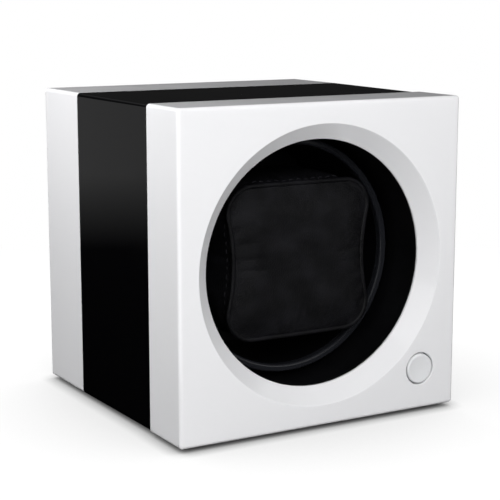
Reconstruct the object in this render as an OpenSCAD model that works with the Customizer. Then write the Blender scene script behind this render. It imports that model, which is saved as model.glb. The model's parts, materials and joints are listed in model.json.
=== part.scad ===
// Watch winder box: a white and black cube with a round window, a geared rotor
// that turns a watch on its cushion, a push button and a service panel behind.
// The front face looks towards -Y. Depths count backwards from the front face.

/* [Housing] */
// Width of the box
box_w = 100; // [98:1:130]
// Height of the shells, without the feet
box_h = 100; // [98:1:130]
// Depth of the box
box_d = 98; // [97:1:130]
// Depth of the white front shell
front_band = 20; // [16:0.5:30]
// Depth of the white rear shell
rear_band = 27.5; // [24:0.5:31]
// Wall of the shells
wall = 2.4; // [2:0.1:3]
// Radius of the outer edges
edge_r = 1.2; // [0.8:0.1:1.6]
// Open seam between two shells
seam = 0.1; // [0.05:0.05:0.3]
// Height of a foot
foot_h = 1.2; // [0.8:0.1:3]
// Radius of a foot
foot_r = 4.5; // [3:0.5:6]

/* [Window] */
// Radius of the clear window
window_r = 38.4; // [36.1:0.1:38.9]
// Width of the cone round the window, seen from the front
bevel_w = 5.1; // [3:0.1:5.4]
// Depth of that cone
bevel_depth = 5.3; // [3:0.1:7]

/* [Button] */
// Distance of the button from the right side of the box
button_side = 13.6; // [13:0.1:15]
// Height of the button above the bottom of the shell
button_up = 13.2; // [12.5:0.1:15]
// Radius of the button
button_r = 4.8; // [4:0.05:5.6]
// Gap round the button
button_gap = 0.35; // [0.2:0.05:0.6]
// Travel of the button
button_travel = 1; // [0.5:0.1:1.2]

/* [Rotor] */
// Wall of the well round the rotor
liner_wall = 1.8; // [1.2:0.1:2.4]
// Running gap between the rotor rim and the well
rotor_gap = 2; // [1:0.1:4]
// Width of the rim's front face
rim_w = 2.4; // [2.2:0.1:4]
// Depth of the rim behind the front face
rim_depth = 21; // [16:0.5:30]
// Wall of the rotor cup
cup_wall = 1.6; // [1.2:0.1:2]
// Thickness of the rotor's floor
cup_floor = 2.5; // [2:0.1:4]
// Radius of the rotor shaft
shaft_r = 2.5; // [2:0.1:3]
// Running clearance of shafts in their bushes
run_fit = 0.04; // [0.02:0.01:0.08]

/* [Gears] */
// Module of the output gear and the idler's pinion
out_module = 1; // [0.9:0.05:1.1]
// Teeth of the output gear
out_teeth = 48; // [44:1:52]
// Teeth of the idler's pinion
idler_pinion_teeth = 16; // [15:1:18]
// Module of the idler's wheel and the motor pinion
in_module = 0.8; // [0.7:0.1:0.9]
// Teeth of the motor pinion
motor_pinion_teeth = 15; // [14:1:18]
// Play between meshing teeth
backlash = 0.14; // [0.1:0.02:0.24]

/* [Cushion] */
// Height of the cushion
cushion_h = 50; // [46:1:54]
// Clearance between the cushion's corners and the rotor's rim
cushion_gap = 2.5; // [1:0.25:4]
// Radius of the cushion's corners, seen from the front
cushion_corner = 9; // [8:0.5:12]
// Depth of the waist in each side of the cushion
cushion_waist = 2; // [0.5:0.25:2.5]
// Space kept in front of the cushion for the head of a watch
head_space = 12; // [10:0.5:14]
// Thickness of the cushion, front to back
cushion_t = 38; // [34:0.5:40]
// Space kept behind the cushion for the clasp of a strap
clasp_space = 7.6; // [6.4:0.2:9]
// Width kept clear for a strap
strap_w = 26; // [20:0.5:27]

/* [Hidden] */
$fn = 72;

white = "#f2f2f2";
black = "#141416";
steel = "#c4c6c8";
brass = "#c9a45a";
grey = "#5c5e62";

// Housing
axis_z = foot_h + box_h / 2;
inner_w = box_w - 2 * wall;
inner_h = box_h - 2 * wall;
sleeve_front = front_band + seam;
sleeve_back = box_d - rear_band - seam;
tongue_t = 1.2;
tongue_long = 3;
tongue_fit = 0.15;
tongue_in = tongue_fit + tongue_t;
sleeve_extra = 0.6;
corner_clear = 16;
screw_inset = wall + 2.7;
screw_x = box_w / 2 - screw_inset;
screw_z = box_h / 2 - screw_inset;
screw_thread_r = 1.1;
screw_head_r = 2.3;
screw_head_h = 1.6;
screw_hole_r = 1.5;
screw_clear = 0.3;
screw_seat = box_d - 2.8;
screw_slot = 0.6;
slot_deep = 0.9;
post_r = 2.9;
front_post = 14;
foot_inset = 9;
foot_bevel = 0.4;
small_screw_r = 0.75;
small_hole_r = 0.9;
small_head_r = 1.6;
head_h = 1;
head_bevel = 0.3;

// Well, rotor and drive, in depths behind the front face
bevel_outer_r = window_r + bevel_w;
lip_t = 0.8;
lip_cover = 1.2;
lip_back = bevel_depth + lip_t;
collar_back = lip_back + 4;
liner_in_r = window_r + lip_cover;
liner_out_r = liner_in_r + liner_wall;
liner_fit = 0.2;
liner_seat_r = liner_out_r + liner_fit;
collar_t = 1.6;
flange_t = 2;
flange_r = liner_out_r + 2.2;
ear_r = 2.6;
ear_turn = 22.5;
rim_out_r = liner_in_r - rotor_gap;
rim_in_r = rim_out_r - rim_w;
rim_cap = 2.5;
rim_skirt = 1.5;
rim_bevel = 0.6;
rim_drop = 0.8;
cup_out_r = rim_in_r + cup_wall;

// Cushion, in depths behind the front face
pad_front = head_space;
pad_back = pad_front + cushion_t;
pad_reach = rim_in_r - cushion_gap - cushion_corner;
pad_straight_h = cushion_h - 2 * cushion_corner;
pad_straight_w = 2 * sqrt(pad_reach^2 - pad_straight_h^2 / 4);
cushion_w = pad_straight_w + 2 * cushion_corner;
waist_r = pad_straight_h^2 / 8 / cushion_waist + cushion_waist / 2;
core_margin = 12;
core_front = pad_front + core_margin;
core_back = pad_back - 10;
core_w = cushion_w - 8;
core_h = cushion_h - 26;
leg_w = 6.5;
leg_h = 14;
leg_x = (strap_w + leg_w) / 2 + 1.6;
magnet_r = 2.5;
magnet_t = 2;
magnet_gap = 0.2;
floor_front = pad_back + clasp_space;
floor_back = floor_front + cup_floor;
plate_front = floor_back + 2;
plate_t = 3;
plate_back = plate_front + plate_t;
plate_edge = 2.1;
boss_r = 7;
boss_back = plate_back + 7;
rib_t = 1.6;
rib_h = 3;
rib_long = 20;
bush_r = shaft_r + 1.5;
bush_flange_r = bush_r + 1.5;
bush_flange_t = 0.8;
bush_long = 4.5;
gear_t = 5;
gear_front = boss_back + bush_flange_t + 0.3;
gear_back = gear_front + gear_t;
clip_t = 0.8;
clip_w = 2;
clip_front = gear_back + 0.2;
shaft_groove = 0.6;
arbor_groove = 0.5;
shaft_back = gear_back + 2.2;
shaft_flange_r = 8;
shaft_flange_t = 1.2;
keeper_t = 0.8;
magnet_back = floor_front - keeper_t - magnet_gap;
keeper_in_r = 9;
keeper_out_r = 27;
rotor_screw_pcr = 5.4;
rotor_screw_r = 0.8;

// Gear train: the idler bridges the rotor's axis and the motor in the top right corner
wheel_t = 4.5;
wheel_front = plate_back + 1.2;
wheel_back = wheel_front + wheel_t;
motor_w = 12;
motor_h = 10;
motor_can_long = 15;
gearhead_long = 9;
motor_dist = flange_r + norm([motor_w, motor_h]) / 2 + 0.2;
motor_x = motor_dist * cos(45);
motor_z = axis_z + motor_dist * sin(45);
out_centres = out_module * (out_teeth + idler_pinion_teeth) / 2;
idler_teeth = ceil(2 * (1.045 * motor_dist - out_centres) / in_module) - motor_pinion_teeth;
in_centres = in_module * (idler_teeth + motor_pinion_teeth) / 2;
idler_turn = acos((out_centres^2 + motor_dist^2 - in_centres^2) / (2 * out_centres * motor_dist));
idler_dir = 45 + idler_turn;
idler_x = out_centres * cos(idler_dir);
idler_z = axis_z + out_centres * sin(idler_dir);
motor_dir = atan2(motor_z - idler_z, motor_x - idler_x);
arbor_r = 1.5;
idler_clear_r = in_module * (idler_teeth + 2) / 2 + 0.6;
motor_shaft_r = 1.5;
motor_turn = -45;
gearhead_front = plate_front - gearhead_long;
gearhead_plate_t = 0.8;
gearhead_pitch = (gearhead_long - gearhead_plate_t) / 2;
pillar_r = 0.9;
pillar_in = 1.2;
drum_r = 3.6;
drum_in = gearhead_plate_t / 2;
bore_front = gearhead_front + gearhead_plate_t + gearhead_pitch + 1.1;
end_cap_r = 2;
end_cap_t = 0.8;
bracket_wall = 1.2;
bracket_t = 1.6;
bracket_h = 8;
bracket_w = 5;
bracket_end = 2;
bracket_room = min(inner_w, inner_h) / 2 - sleeve_extra - 0.1 - motor_x;
bracket_screw_out = min(motor_w / 2 + 4.2, bracket_room * sqrt(2) - bracket_w / 2 - bracket_end);

// Service panel: controls in a pocket above, batteries below
panel_front = box_d - wall;
pocket_w = 74;
pocket_h = 19;
pocket_deep = 4.5;
pocket_wall = 2;
pocket_floor = box_d - pocket_deep;
pocket_under = pocket_floor - pocket_wall;
board_w = 78;
board_h = 34;
board_t = 1.6;
board_front = pocket_under - 8.5;
board_back = board_front + board_t;
board_z = axis_z + 24;
board_hole_x = board_w / 2 - 3;
board_hole_z = board_h / 2 - 3;
board_screw_r = 0.8;
board_screw_long = 5;
board_post_r = 2.2;
socket_x = -26;
socket_r = 3.1;
socket_out_r = socket_r + 0.9;
socket_deep = 8;
socket_pin_r = 1;
slider_x = 0;
slider_travel = 2;
slider_w = 4;
slider_h = 3;
slider_fit = 0.3;
knob_x = 26;
knob_r = 6.8;
knob_lift = 0.3;
knob_front = box_d - 0.7;
flute_r = 0.9;
pointer_deep = 0.6;
spindle_r = 1.5;
spindle_bush_r = 3;
cell_r = 7.1;
cell_long = 50.5;
cell_pitch = 15;
nub_long = 1.2;
contact_t = 0.4;
contact_long = 3.5;
door_t = 1.5;
door_fit = 0.25;
door_pin_r = 0.45;
door_pin_long = 1.2;
door_corner = 0.6;
finger_r = 6;
finger_deep = 0.9;
grip_w = 16;
grip_t = 0.8;
grip_deep = 0.4;
grip_pitch = 1.8;
tray_w = cell_long + 2 * contact_long;
tray_h = 2 * cell_pitch + 1;
tray_wall = 1.5;
tray_front = box_d - door_t - 2 * cell_r - 0.5;
cell_depth = tray_front + cell_r + 0.2;
tray_z = foot_h + wall + 2 + tray_wall + tray_h / 2;
door_w = tray_w + 4.5;
door_h = tray_h + 3.5;
door_bottom = tray_z - door_h / 2;
hinge_depth = box_d - door_t / 2;
hinge_z = door_bottom + door_fit + door_t / 2;

// Start button
button_x = box_w / 2 - button_side;
button_z = foot_h + button_up;
button_face = 0.25;
button_hole_r = button_r + button_gap;
hole_bevel = 0.4;
button_flange_r = button_r + 1.05;
guide_r = button_flange_r + 0.2;
guide_out_r = guide_r + 0.9;
guide_back = 12;
button_flange_front = wall + 0.1;
button_flange_back = button_flange_front + 1.5;
button_board_t = 1.2;
tact_h = 3.5;
plunger_h = 0.7;
plunger_r = 1.7;
stem_end = guide_back - tact_h - plunger_h - button_travel - 0.1;
coil_wire_r = 0.3;
coil_r = button_flange_r - 1.2;
coil_turns = 5;
tact_w = sqrt(2) * (coil_r - coil_wire_r - 0.66);
ear_out = guide_out_r + 1.3;
ear_post_r = 1.7;
ear_screw_r = 0.7;
ear_screw_long = 4;
button_stem_r = 1.5;

// ---- helpers -------------------------------------------------------------

// Place along Y of a depth behind the front face
function at(depth) = depth - box_d / 2;

// Extrudes a shape drawn in X and Z between two depths
module slab(front, back) {
    translate([0, at(back), 0]) rotate([90, 0, 0]) linear_extrude(back - front) children();
}

// Turns a profile of [radius, depth] points about a line along Y
module turned(x = 0, z = axis_z) {
    translate([x, at(0), z]) rotate([-90, 0, 0]) rotate_extrude() children();
}

// A round bar along Y between two depths
module bar(x, z, r, front, back) {
    translate([x, at(front), z]) rotate([-90, 0, 0]) cylinder(r = r, h = back - front);
}

// A round bar along X
module cross_bar(x, depth, z, r, long) {
    translate([x, at(depth), z]) rotate([0, 90, 0]) cylinder(r = r, h = long);
}

// Extrudes a shape drawn in depth and Z sideways, from x = from over long
module sideways(from, long) {
    translate([from, at(0), 0]) rotate([90, 0, 90]) linear_extrude(long) children();
}

// A rectangle with true round corners, centred
module round_rect(w, h, r) {
    square([w - 2 * r, h], center = true);
    square([w, h - 2 * r], center = true);
    for (x = [-1, 1], y = [-1, 1]) translate([x * (w / 2 - r), y * (h / 2 - r)]) circle(r);
}

// Outlines of the screw posts, trimmed to the inside of the walls
module screw_posts() intersection() {
    at_screws() circle(post_r);
    translate([0, axis_z]) square([inner_w, inner_h], center = true);
}

// The four corner places of the housing screws, in X and Z
module at_screws() {
    for (x = [-1, 1], z = [-1, 1]) translate([x * screw_x, axis_z + z * screw_z]) children();
}

// ---- gears ---------------------------------------------------------------

pressure = 20;
flank_steps = 4;
function polar(r, a) = [r * cos(a), r * sin(a)];
// Angle swept by an involute of base radius rb when it reaches radius r
function involute_turn(rb, r) = let (t = sqrt(max(0, (r / rb)^2 - 1))) t * 180 / PI - atan(t);
// Half of a tooth's angle at radius r
function half_tooth(m, z, r) =
    let (rp = m * z / 2, rb = rp * cos(pressure))
    90 / z - backlash / 2 / rp * 90 / PI + involute_turn(rb, rp) - involute_turn(rb, max(r, rb));

// Outline of a spur gear with its first tooth along X
function gear_points(m, z) =
    let (rp = m * z / 2, rb = rp * cos(pressure), root = rp - 1.25 * m, tip = rp + 0.95 * m,
         low = max(rb, root + 0.05))
    [for (i = [0:z - 1]) let (a = i * 360 / z, foot = half_tooth(m, z, low)) each concat(
        [polar(root, a - foot)],
        [for (k = [0:flank_steps]) let (r = low + (tip - low) * k / flank_steps)
            polar(r, a - half_tooth(m, z, r))],
        [for (k = [flank_steps:-1:0]) let (r = low + (tip - low) * k / flank_steps)
            polar(r, a + half_tooth(m, z, r))],
        [polar(root, a + foot)])];

module gear(m, z, turn) rotate(turn) polygon(gear_points(m, z));

// ---- housing -------------------------------------------------------------

// The whole block with its twelve rounded edges, cut to a band between two depths
module block_band(front, back) {
    intersection() {
        slab(0, box_d) translate([0, axis_z]) round_rect(box_w, box_h, edge_r);
        translate([0, 0, foot_h]) linear_extrude(box_h) round_rect(box_w, box_d, edge_r);
        sideways(-box_w / 2, box_w) translate([box_d / 2, axis_z]) round_rect(box_d, box_h, edge_r);
        slab(front, back) translate([0, axis_z]) square([box_w + 2, box_h + 2], center = true);
    }
}

module front_shell() color(white) difference() {
    union() {
        difference() {
            block_band(0, front_band);
            slab(wall, front_band + 1) translate([0, axis_z]) square([inner_w, inner_h], center = true);
        }
        bar(0, axis_z, liner_seat_r + collar_t, wall / 2, collar_back);
        bar(button_x, button_z, guide_out_r, wall / 2, guide_back);
        slab(wall / 2, guide_back) at_button_ears() circle(ear_post_r);
        slab(wall / 2, front_post) screw_posts();
    }
    turned() polygon([
        [0, -1], [bevel_outer_r + bevel_w / bevel_depth, -1], [window_r, bevel_depth], [window_r, lip_back],
        [liner_seat_r, lip_back], [liner_seat_r, collar_back + 1], [0, collar_back + 1]]);
    turned(button_x, button_z) polygon([
        [0, -1], [button_hole_r + hole_bevel + 1, -1], [button_hole_r, hole_bevel], [button_hole_r, wall],
        [guide_r, wall], [guide_r, guide_back + 1], [0, guide_back + 1]]);
    slab(wall + 2, front_post + 1) at_screws() circle(screw_thread_r);
    slab(guide_back - ear_screw_long, guide_back + 1) at_button_ears() circle(ear_screw_r);
}

// Corners of the inside, where the screw posts pass
module corner_squares(out) {
    side = corner_clear / 2;
    for (x = [-1, 1], z = [-1, 1])
        translate([x * (inner_w / 2 + out - side / 2), z * (inner_h / 2 + out - side / 2)])
            square(side, center = true);
}

module tongue(front, back) {
    slab(front, back) translate([0, axis_z]) difference() {
        square([inner_w - 2 * tongue_fit, inner_h - 2 * tongue_fit], center = true);
        square([inner_w - 2 * tongue_in, inner_h - 2 * tongue_in], center = true);
        corner_squares(tongue_fit);
    }
}

module centre_sleeve() color(black) {
    difference() {
        block_band(sleeve_front, sleeve_back);
        slab(sleeve_front - 1, sleeve_back + 1) translate([0, axis_z]) {
            square([inner_w - 2 * sleeve_extra, inner_h - 2 * sleeve_extra], center = true);
            corner_squares(tongue_fit);
        }
    }
    tongue(sleeve_front - tongue_long, sleeve_front + tongue_long);
    tongue(sleeve_back - tongue_long, sleeve_back + tongue_long);
}

// The four places where the control board is screwed down
module at_board_holes() {
    for (x = [-1, 1], z = [-1, 1]) translate([x * board_hole_x, board_z + z * board_hole_z]) children();
}

module rear_shell() color(white) difference() {
    union() {
        difference() {
            block_band(box_d - rear_band, box_d);
            slab(box_d - rear_band - 1, panel_front) translate([0, axis_z])
                square([inner_w, inner_h], center = true);
        }
        slab(plate_back, panel_front + 1) screw_posts();
        slab(board_back, panel_front + 1) at_board_holes() circle(board_post_r);
        slab(pocket_under, panel_front + 1) translate([0, board_z])
            round_rect(pocket_w + 2 * pocket_wall, pocket_h + 2 * pocket_wall, 4);
    }
    slab(plate_back - 1, box_d + 1) at_screws() circle(screw_hole_r);
    slab(screw_seat, box_d + 1) at_screws() circle(screw_head_r + screw_clear);
    slab(board_back - 1, board_back + board_screw_long + 0.5) at_board_holes() circle(board_screw_r);
    slab(pocket_floor, box_d + 1) translate([0, board_z]) round_rect(pocket_w, pocket_h, 3);
    bar(socket_x, board_z, socket_out_r + 0.15, pocket_under - 1, pocket_floor + 1);
    bar(knob_x, board_z, spindle_bush_r + 0.2, pocket_under - 1, pocket_floor + 1);
    slab(pocket_under - 1, pocket_floor + 1) translate([slider_x, board_z])
        square([slider_w + 2 * slider_travel + 2 * slider_fit, slider_h + 2 * slider_fit], center = true);
    slab(box_d - door_t, box_d + 1) translate([0, tray_z]) round_rect(door_w, door_h, door_corner);
    slab(panel_front - 1, box_d) translate([0, tray_z]) square([tray_w, tray_h], center = true);
    cross_bar(-door_w / 2 - door_pin_long - 0.1, hinge_depth, hinge_z, door_pin_r + 0.05,
        door_w + 2 * door_pin_long + 0.2);
    bar(0, door_bottom + door_h, finger_r, box_d - finger_deep, box_d + 1);
}

module feet() color(grey)
    for (x = [-1, 1], y = [-1, 1])
        translate([x * (box_w / 2 - foot_inset), y * (box_d / 2 - foot_inset), 0])
            rotate_extrude() polygon([
                [0, 0], [foot_r - foot_bevel, 0], [foot_r, foot_bevel], [foot_r, foot_h], [0, foot_h]]);

module housing_screws() color(steel) {
    head_back = screw_seat + screw_head_h;
    for (x = [-1, 1], z = [-1, 1]) difference() {
        turned(x * screw_x, axis_z + z * screw_z) polygon([
            [0, wall + 3], [screw_thread_r, wall + 3], [screw_thread_r, front_post + 2],
            [screw_thread_r, screw_seat], [screw_head_r, screw_seat],
            [screw_head_r, head_back - head_bevel], [screw_head_r - head_bevel, head_back], [0, head_back]]);
        slab(head_back - slot_deep, head_back + 1) translate([x * screw_x, axis_z + z * screw_z])
            for (turn = [0, 90]) rotate(turn) square([screw_head_r, screw_slot], center = true);
    }
}

// ---- well and drive plate ------------------------------------------------

// Four places round the well where it is screwed to the drive plate
module at_ears() {
    for (a = [ear_turn:90:ear_turn + 270]) rotate(a) translate([flange_r, 0]) children();
}

module well_liner() color(black) difference() {
    union() {
        turned() polygon([
            [liner_in_r, lip_back], [liner_out_r, lip_back], [liner_out_r, plate_front - flange_t],
            [flange_r, plate_front - flange_t], [flange_r, plate_front], [liner_in_r, plate_front]]);
        slab(plate_front - flange_t, plate_front) translate([0, axis_z]) difference() {
            at_ears() circle(ear_r);
            circle(liner_in_r + 0.5);
        }
    }
    slab(plate_front - flange_t - 1, plate_front + 1) translate([0, axis_z]) at_ears() circle(small_hole_r);
}

module drive_plate() color(grey) difference() {
    union() {
        slab(plate_front, plate_back) translate([0, axis_z])
            square([inner_w - 2 * plate_edge, inner_h - 2 * plate_edge], center = true);
        bar(0, axis_z, boss_r, plate_back - 1, boss_back);
        slab(plate_back - 1, plate_back + rib_h) translate([0, axis_z])
            for (a = [45:90:315]) rotate(a) translate([boss_r, -rib_t / 2]) square([rib_long, rib_t]);
    }
    bar(0, axis_z, bush_r, plate_front - 1, boss_back + 1);
    bar(idler_x, idler_z, idler_clear_r, plate_back, plate_back + rib_h + 1);
    bar(idler_x, idler_z, arbor_r, plate_front - 1, plate_back + 1);
    bar(motor_x, motor_z, motor_shaft_r + 1.7, plate_front - 1, plate_back + 1);
    slab(plate_front - 1, plate_back + 1) {
        at_screws() circle(screw_hole_r);
        translate([0, axis_z]) at_ears() circle(small_screw_r);
        at_bracket_screws() circle(small_screw_r);
    }
}

// A screw from the top of its head to its tip, whichever of the two lies in front
module screw(x, z, r, head_r, head, tip) {
    way = sign(tip - head);
    turned(x, z) polygon([
        [0, head], [head_r - head_bevel, head], [head_r, head + way * head_bevel],
        [head_r, head + way * head_h], [r, head + way * head_h], [r, tip], [0, tip]]);
}

module plate_screws() color(steel) {
    for (a = [ear_turn:90:ear_turn + 270])
        screw(flange_r * cos(a), axis_z + flange_r * sin(a), small_screw_r, small_head_r,
            plate_front - flange_t - head_h, plate_back);
}

// ---- rotor ---------------------------------------------------------------

module rotor_cup() color(black) difference() {
    turned() polygon([
        [shaft_r, floor_front], [rim_in_r, floor_front], [rim_in_r, rim_depth + rim_cap],
        [cup_out_r, rim_depth + rim_cap], [cup_out_r, floor_back], [shaft_r, floor_back]]);
    bar(0, axis_z, shaft_flange_r + 0.1, floor_front - 1, floor_front + shaft_flange_t);
    slab(floor_front, floor_back + 1) translate([0, axis_z])
        for (a = [90:120:330]) rotate(a) translate([rotor_screw_pcr, 0]) circle(rotor_screw_r);
}

module rotor_rim() color(grey) turned() polygon([
    [rim_in_r, rim_depth + rim_drop], [rim_in_r + rim_bevel, rim_depth],
    [rim_out_r - rim_bevel, rim_depth], [rim_out_r, rim_depth + rim_drop],
    [rim_out_r, rim_depth + rim_cap + rim_skirt], [cup_out_r, rim_depth + rim_cap + rim_skirt],
    [cup_out_r, rim_depth + rim_cap], [rim_in_r, rim_depth + rim_cap]]);

module rotor_shaft() color(steel) difference() {
    turned() polygon([
        [0, floor_front], [shaft_flange_r, floor_front], [shaft_flange_r, floor_front + shaft_flange_t],
        [shaft_r, floor_front + shaft_flange_t], [shaft_r, clip_front], [shaft_r - shaft_groove, clip_front],
        [shaft_r - shaft_groove, clip_front + clip_t], [shaft_r, clip_front + clip_t],
        [shaft_r, shaft_back - head_bevel], [shaft_r - head_bevel, shaft_back], [0, shaft_back]]);
    slab(floor_front - 1, floor_front + 2) translate([0, axis_z])
        for (a = [90:120:330]) rotate(a) translate([rotor_screw_pcr, 0]) circle(rotor_screw_r);
}

module keeper_plate() color(steel) slab(floor_front - keeper_t, floor_front) translate([0, axis_z])
    difference() {
        circle(keeper_out_r);
        circle(keeper_in_r);
    }

module rotor_screws() color(steel)
    for (a = [90:120:330]) screw(rotor_screw_pcr * cos(a), axis_z + rotor_screw_pcr * sin(a),
        rotor_screw_r, small_head_r, floor_front - head_h, floor_back);

module bearing_bushes() color(brass) {
    turned() polygon([
        [shaft_r + run_fit, plate_front - bush_flange_t], [bush_flange_r, plate_front - bush_flange_t],
        [bush_flange_r, plate_front], [bush_r, plate_front], [bush_r, plate_front + bush_long],
        [shaft_r + run_fit, plate_front + bush_long]]);
    turned() polygon([
        [shaft_r + run_fit, boss_back - bush_long], [bush_r, boss_back - bush_long], [bush_r, boss_back],
        [bush_flange_r, boss_back], [bush_flange_r, boss_back + bush_flange_t],
        [shaft_r + run_fit, boss_back + bush_flange_t]]);
}

// A spring clip with an open mouth, in the shaft's groove and in the arbor's
module open_clip(x, z, in_r, front) color(steel)
    slab(front, front + clip_t) translate([x, z]) difference() {
        circle(in_r + clip_w);
        circle(in_r);
        translate([0, -in_r - clip_w]) square([1.6 * in_r, 2 * (in_r + clip_w) - in_r], center = true);
    }

module shaft_clip() open_clip(0, axis_z, shaft_r - shaft_groove, clip_front);

module output_gear() color("ivory") {
    slab(gear_front, gear_back) translate([0, axis_z]) difference() {
        gear(out_module, out_teeth, idler_dir);
        circle(shaft_r);
        for (a = [30:60:330]) rotate(a) translate([out_module * out_teeth * 0.29, 0]) circle(out_module * 4);
    }
}

module idler_gear() color("ivory") difference() {
    union() {
        slab(wheel_front, wheel_back) translate([idler_x, idler_z]) gear(in_module, idler_teeth, motor_dir);
        slab(wheel_back - 0.5, gear_back) translate([idler_x, idler_z])
            gear(out_module, idler_pinion_teeth, idler_dir + 180 + 180 / idler_pinion_teeth);
    }
    bar(idler_x, idler_z, arbor_r + run_fit, wheel_front - 1, gear_back + 1);
    slab(wheel_front - 1, wheel_back + 1) translate([idler_x, idler_z])
        for (a = [0:72:288]) rotate(motor_dir + a) translate([in_module * idler_teeth * 0.36, 0]) circle(2);
}

module idler_arbor() color(steel) {
    turned(idler_x, idler_z) polygon([
        [0, plate_front], [arbor_r, plate_front], [arbor_r, clip_front], [arbor_r - arbor_groove, clip_front],
        [arbor_r - arbor_groove, clip_front + clip_t], [arbor_r, clip_front + clip_t],
        [arbor_r, clip_front + 2 * clip_t], [0, clip_front + 2 * clip_t]]);
    open_clip(idler_x, idler_z, arbor_r - arbor_groove - 0.05, clip_front);
}

// ---- motor ---------------------------------------------------------------

// Places a shape drawn square to the motor on the motor's axis
module at_motor() {
    translate([motor_x, motor_z]) rotate(motor_turn) children();
}

module at_bracket_screws() {
    at_motor() for (s = [-1, 1]) translate([s * bracket_screw_out, 0]) children();
}

// The shaft's round with its flat side
module shaft_outline(play) intersection() {
    circle(motor_shaft_r);
    translate([0, -motor_shaft_r / 3]) square([3 * motor_shaft_r, 2 * motor_shaft_r + play], center = true);
}

module motor_pinion() color(brass) slab(plate_back + 1, wheel_back + 0.6) translate([motor_x, motor_z])
    difference() {
        gear(in_module, motor_pinion_teeth, motor_dir + 180 + 180 / motor_pinion_teeth);
        shaft_outline(0.01);
    }

module motor_shaft() color(steel) slab(bore_front + 0.3, wheel_back + 1)
    translate([motor_x, motor_z]) shaft_outline(0);

module motor_can() color(steel) {
    can_front = gearhead_front - motor_can_long;
    slab(can_front, gearhead_front) at_motor() intersection() {
        square([motor_w, motor_h], center = true);
        circle(motor_w / 2);
    }
    slab(can_front - end_cap_t, can_front) at_motor() circle(end_cap_r);
}

// Three plates on two pillars, round a drum that holds the reduction
module motor_gearhead() color(brass) difference() {
    union() {
        for (k = [0:2]) {
            front = gearhead_front + k * gearhead_pitch;
            slab(front, front + gearhead_plate_t) at_motor() square([motor_w, motor_h], center = true);
        }
        slab(gearhead_front, plate_front) at_motor() for (s = [-1, 1])
            translate([s * (motor_w / 2 - pillar_in), s * (motor_h / 2 - pillar_in)]) circle(pillar_r);
        bar(motor_x, motor_z, drum_r, gearhead_front + drum_in, plate_front - drum_in);
    }
    bar(motor_x, motor_z, motor_shaft_r + run_fit, bore_front, plate_front + 1);
}

module motor_bracket() color(black) difference() {
    union() {
        slab(plate_front - bracket_h, plate_front) at_motor()
            square([motor_w + 2 * bracket_wall, motor_h + 2 * bracket_wall], center = true);
        slab(plate_front - bracket_t, plate_front) at_motor()
            square([2 * (bracket_screw_out + bracket_end), bracket_w], center = true);
    }
    slab(plate_front - bracket_h - 1, plate_front + 1) at_motor() square([motor_w, motor_h], center = true);
    slab(plate_front - bracket_h - 1, plate_front + 1) at_bracket_screws() circle(small_hole_r);
}

module bracket_screws() color(steel)
    for (out = [-bracket_screw_out, bracket_screw_out])
        screw(motor_x + out * cos(motor_turn), motor_z + out * sin(motor_turn), small_screw_r, small_head_r,
            plate_front - bracket_t - head_h, plate_back);

// ---- control board -------------------------------------------------------

// A block on the board: centre, size and the two depths it spans
module board_block(x, z, w, h, front, back) {
    slab(front, back) translate([x, board_z + z]) square([w, h], center = true);
}

module control_board() color("darkgreen") slab(board_front, board_back) difference() {
    translate([0, board_z]) round_rect(board_w, board_h, 2);
    at_board_holes() circle(board_screw_r + 0.2);
}

module board_parts() color(black) {
    board_block(-12, 3, 9, 9, board_front - 1.2, board_front);
    board_block(2, 6, 5, 4, board_front - 1.5, board_front);
    board_block(32, -4, 5, 9, board_front - 2, board_front);
    board_block(-33, -2, 5, 11, board_front - 2, board_front);
    for (x = [-27, -22]) bar(x, board_z + 10, 1.9, board_front - 2, board_front);
    for (k = [0:4]) board_block(-24 + 3 * k, -9, 1.6, 0.9, board_front - 0.6, board_front);
}

module board_screws() color(steel)
    for (x = [-1, 1], z = [-1, 1])
        screw(x * board_hole_x, board_z + z * board_hole_z, board_screw_r, small_head_r,
            board_front - head_h, board_back + board_screw_long);

module dc_socket() color(black) difference() {
    union() {
        board_block(socket_x, 0, 9.4, 10.4, board_back, pocket_under);
        bar(socket_x, board_z, socket_out_r, pocket_under - 0.5, pocket_floor);
    }
    bar(socket_x, board_z, socket_r, pocket_floor - socket_deep, pocket_floor + 1);
}

module dc_socket_pin() color(steel) turned(socket_x, board_z) polygon([
    [0, pocket_floor - socket_deep], [socket_pin_r, pocket_floor - socket_deep],
    [socket_pin_r, pocket_floor - 1], [socket_pin_r - 0.4, pocket_floor - 0.5], [0, pocket_floor - 0.5]]);

module program_switch() color(steel) difference() {
    union() {
        board_block(knob_x, 0, 11, 11, board_back, pocket_under);
        bar(knob_x, board_z, spindle_bush_r, pocket_under - 0.5, pocket_floor);
    }
    bar(knob_x, board_z, spindle_r + run_fit, board_back + 2, pocket_floor + 1);
}

// A fluted knob with a pointer groove, on its own spindle
module program_knob() color(black) difference() {
    union() {
        slab(pocket_floor + knob_lift, knob_front) translate([knob_x, board_z]) difference() {
            circle(knob_r);
            for (a = [15:30:345]) rotate(a) translate([knob_r + flute_r / 2, 0]) circle(flute_r);
        }
        bar(knob_x, board_z, spindle_r, board_back + 2.2, pocket_floor + 1);
    }
    slab(knob_front - pointer_deep, box_d) translate([knob_x, board_z + knob_r / 2])
        square([flute_r, knob_r - 1], center = true);
}

module direction_switch() color(steel) difference() {
    board_block(slider_x, 0, 14, 7, board_back, pocket_under - 0.1);
    board_block(slider_x, 0, slider_w + 2 * slider_travel + 0.6, slider_h + 0.2,
        board_back + 1.5, pocket_under + 1);
}

module direction_slider() color(black) difference() {
    board_block(slider_x, 0, slider_w, slider_h, board_back + 1.6, box_d - 1.2);
    for (k = [-1:1]) board_block(slider_x + 1.1 * k, 0, 0.4, slider_h + 1, box_d - 1.7, box_d);
}

// ---- start button --------------------------------------------------------

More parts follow.
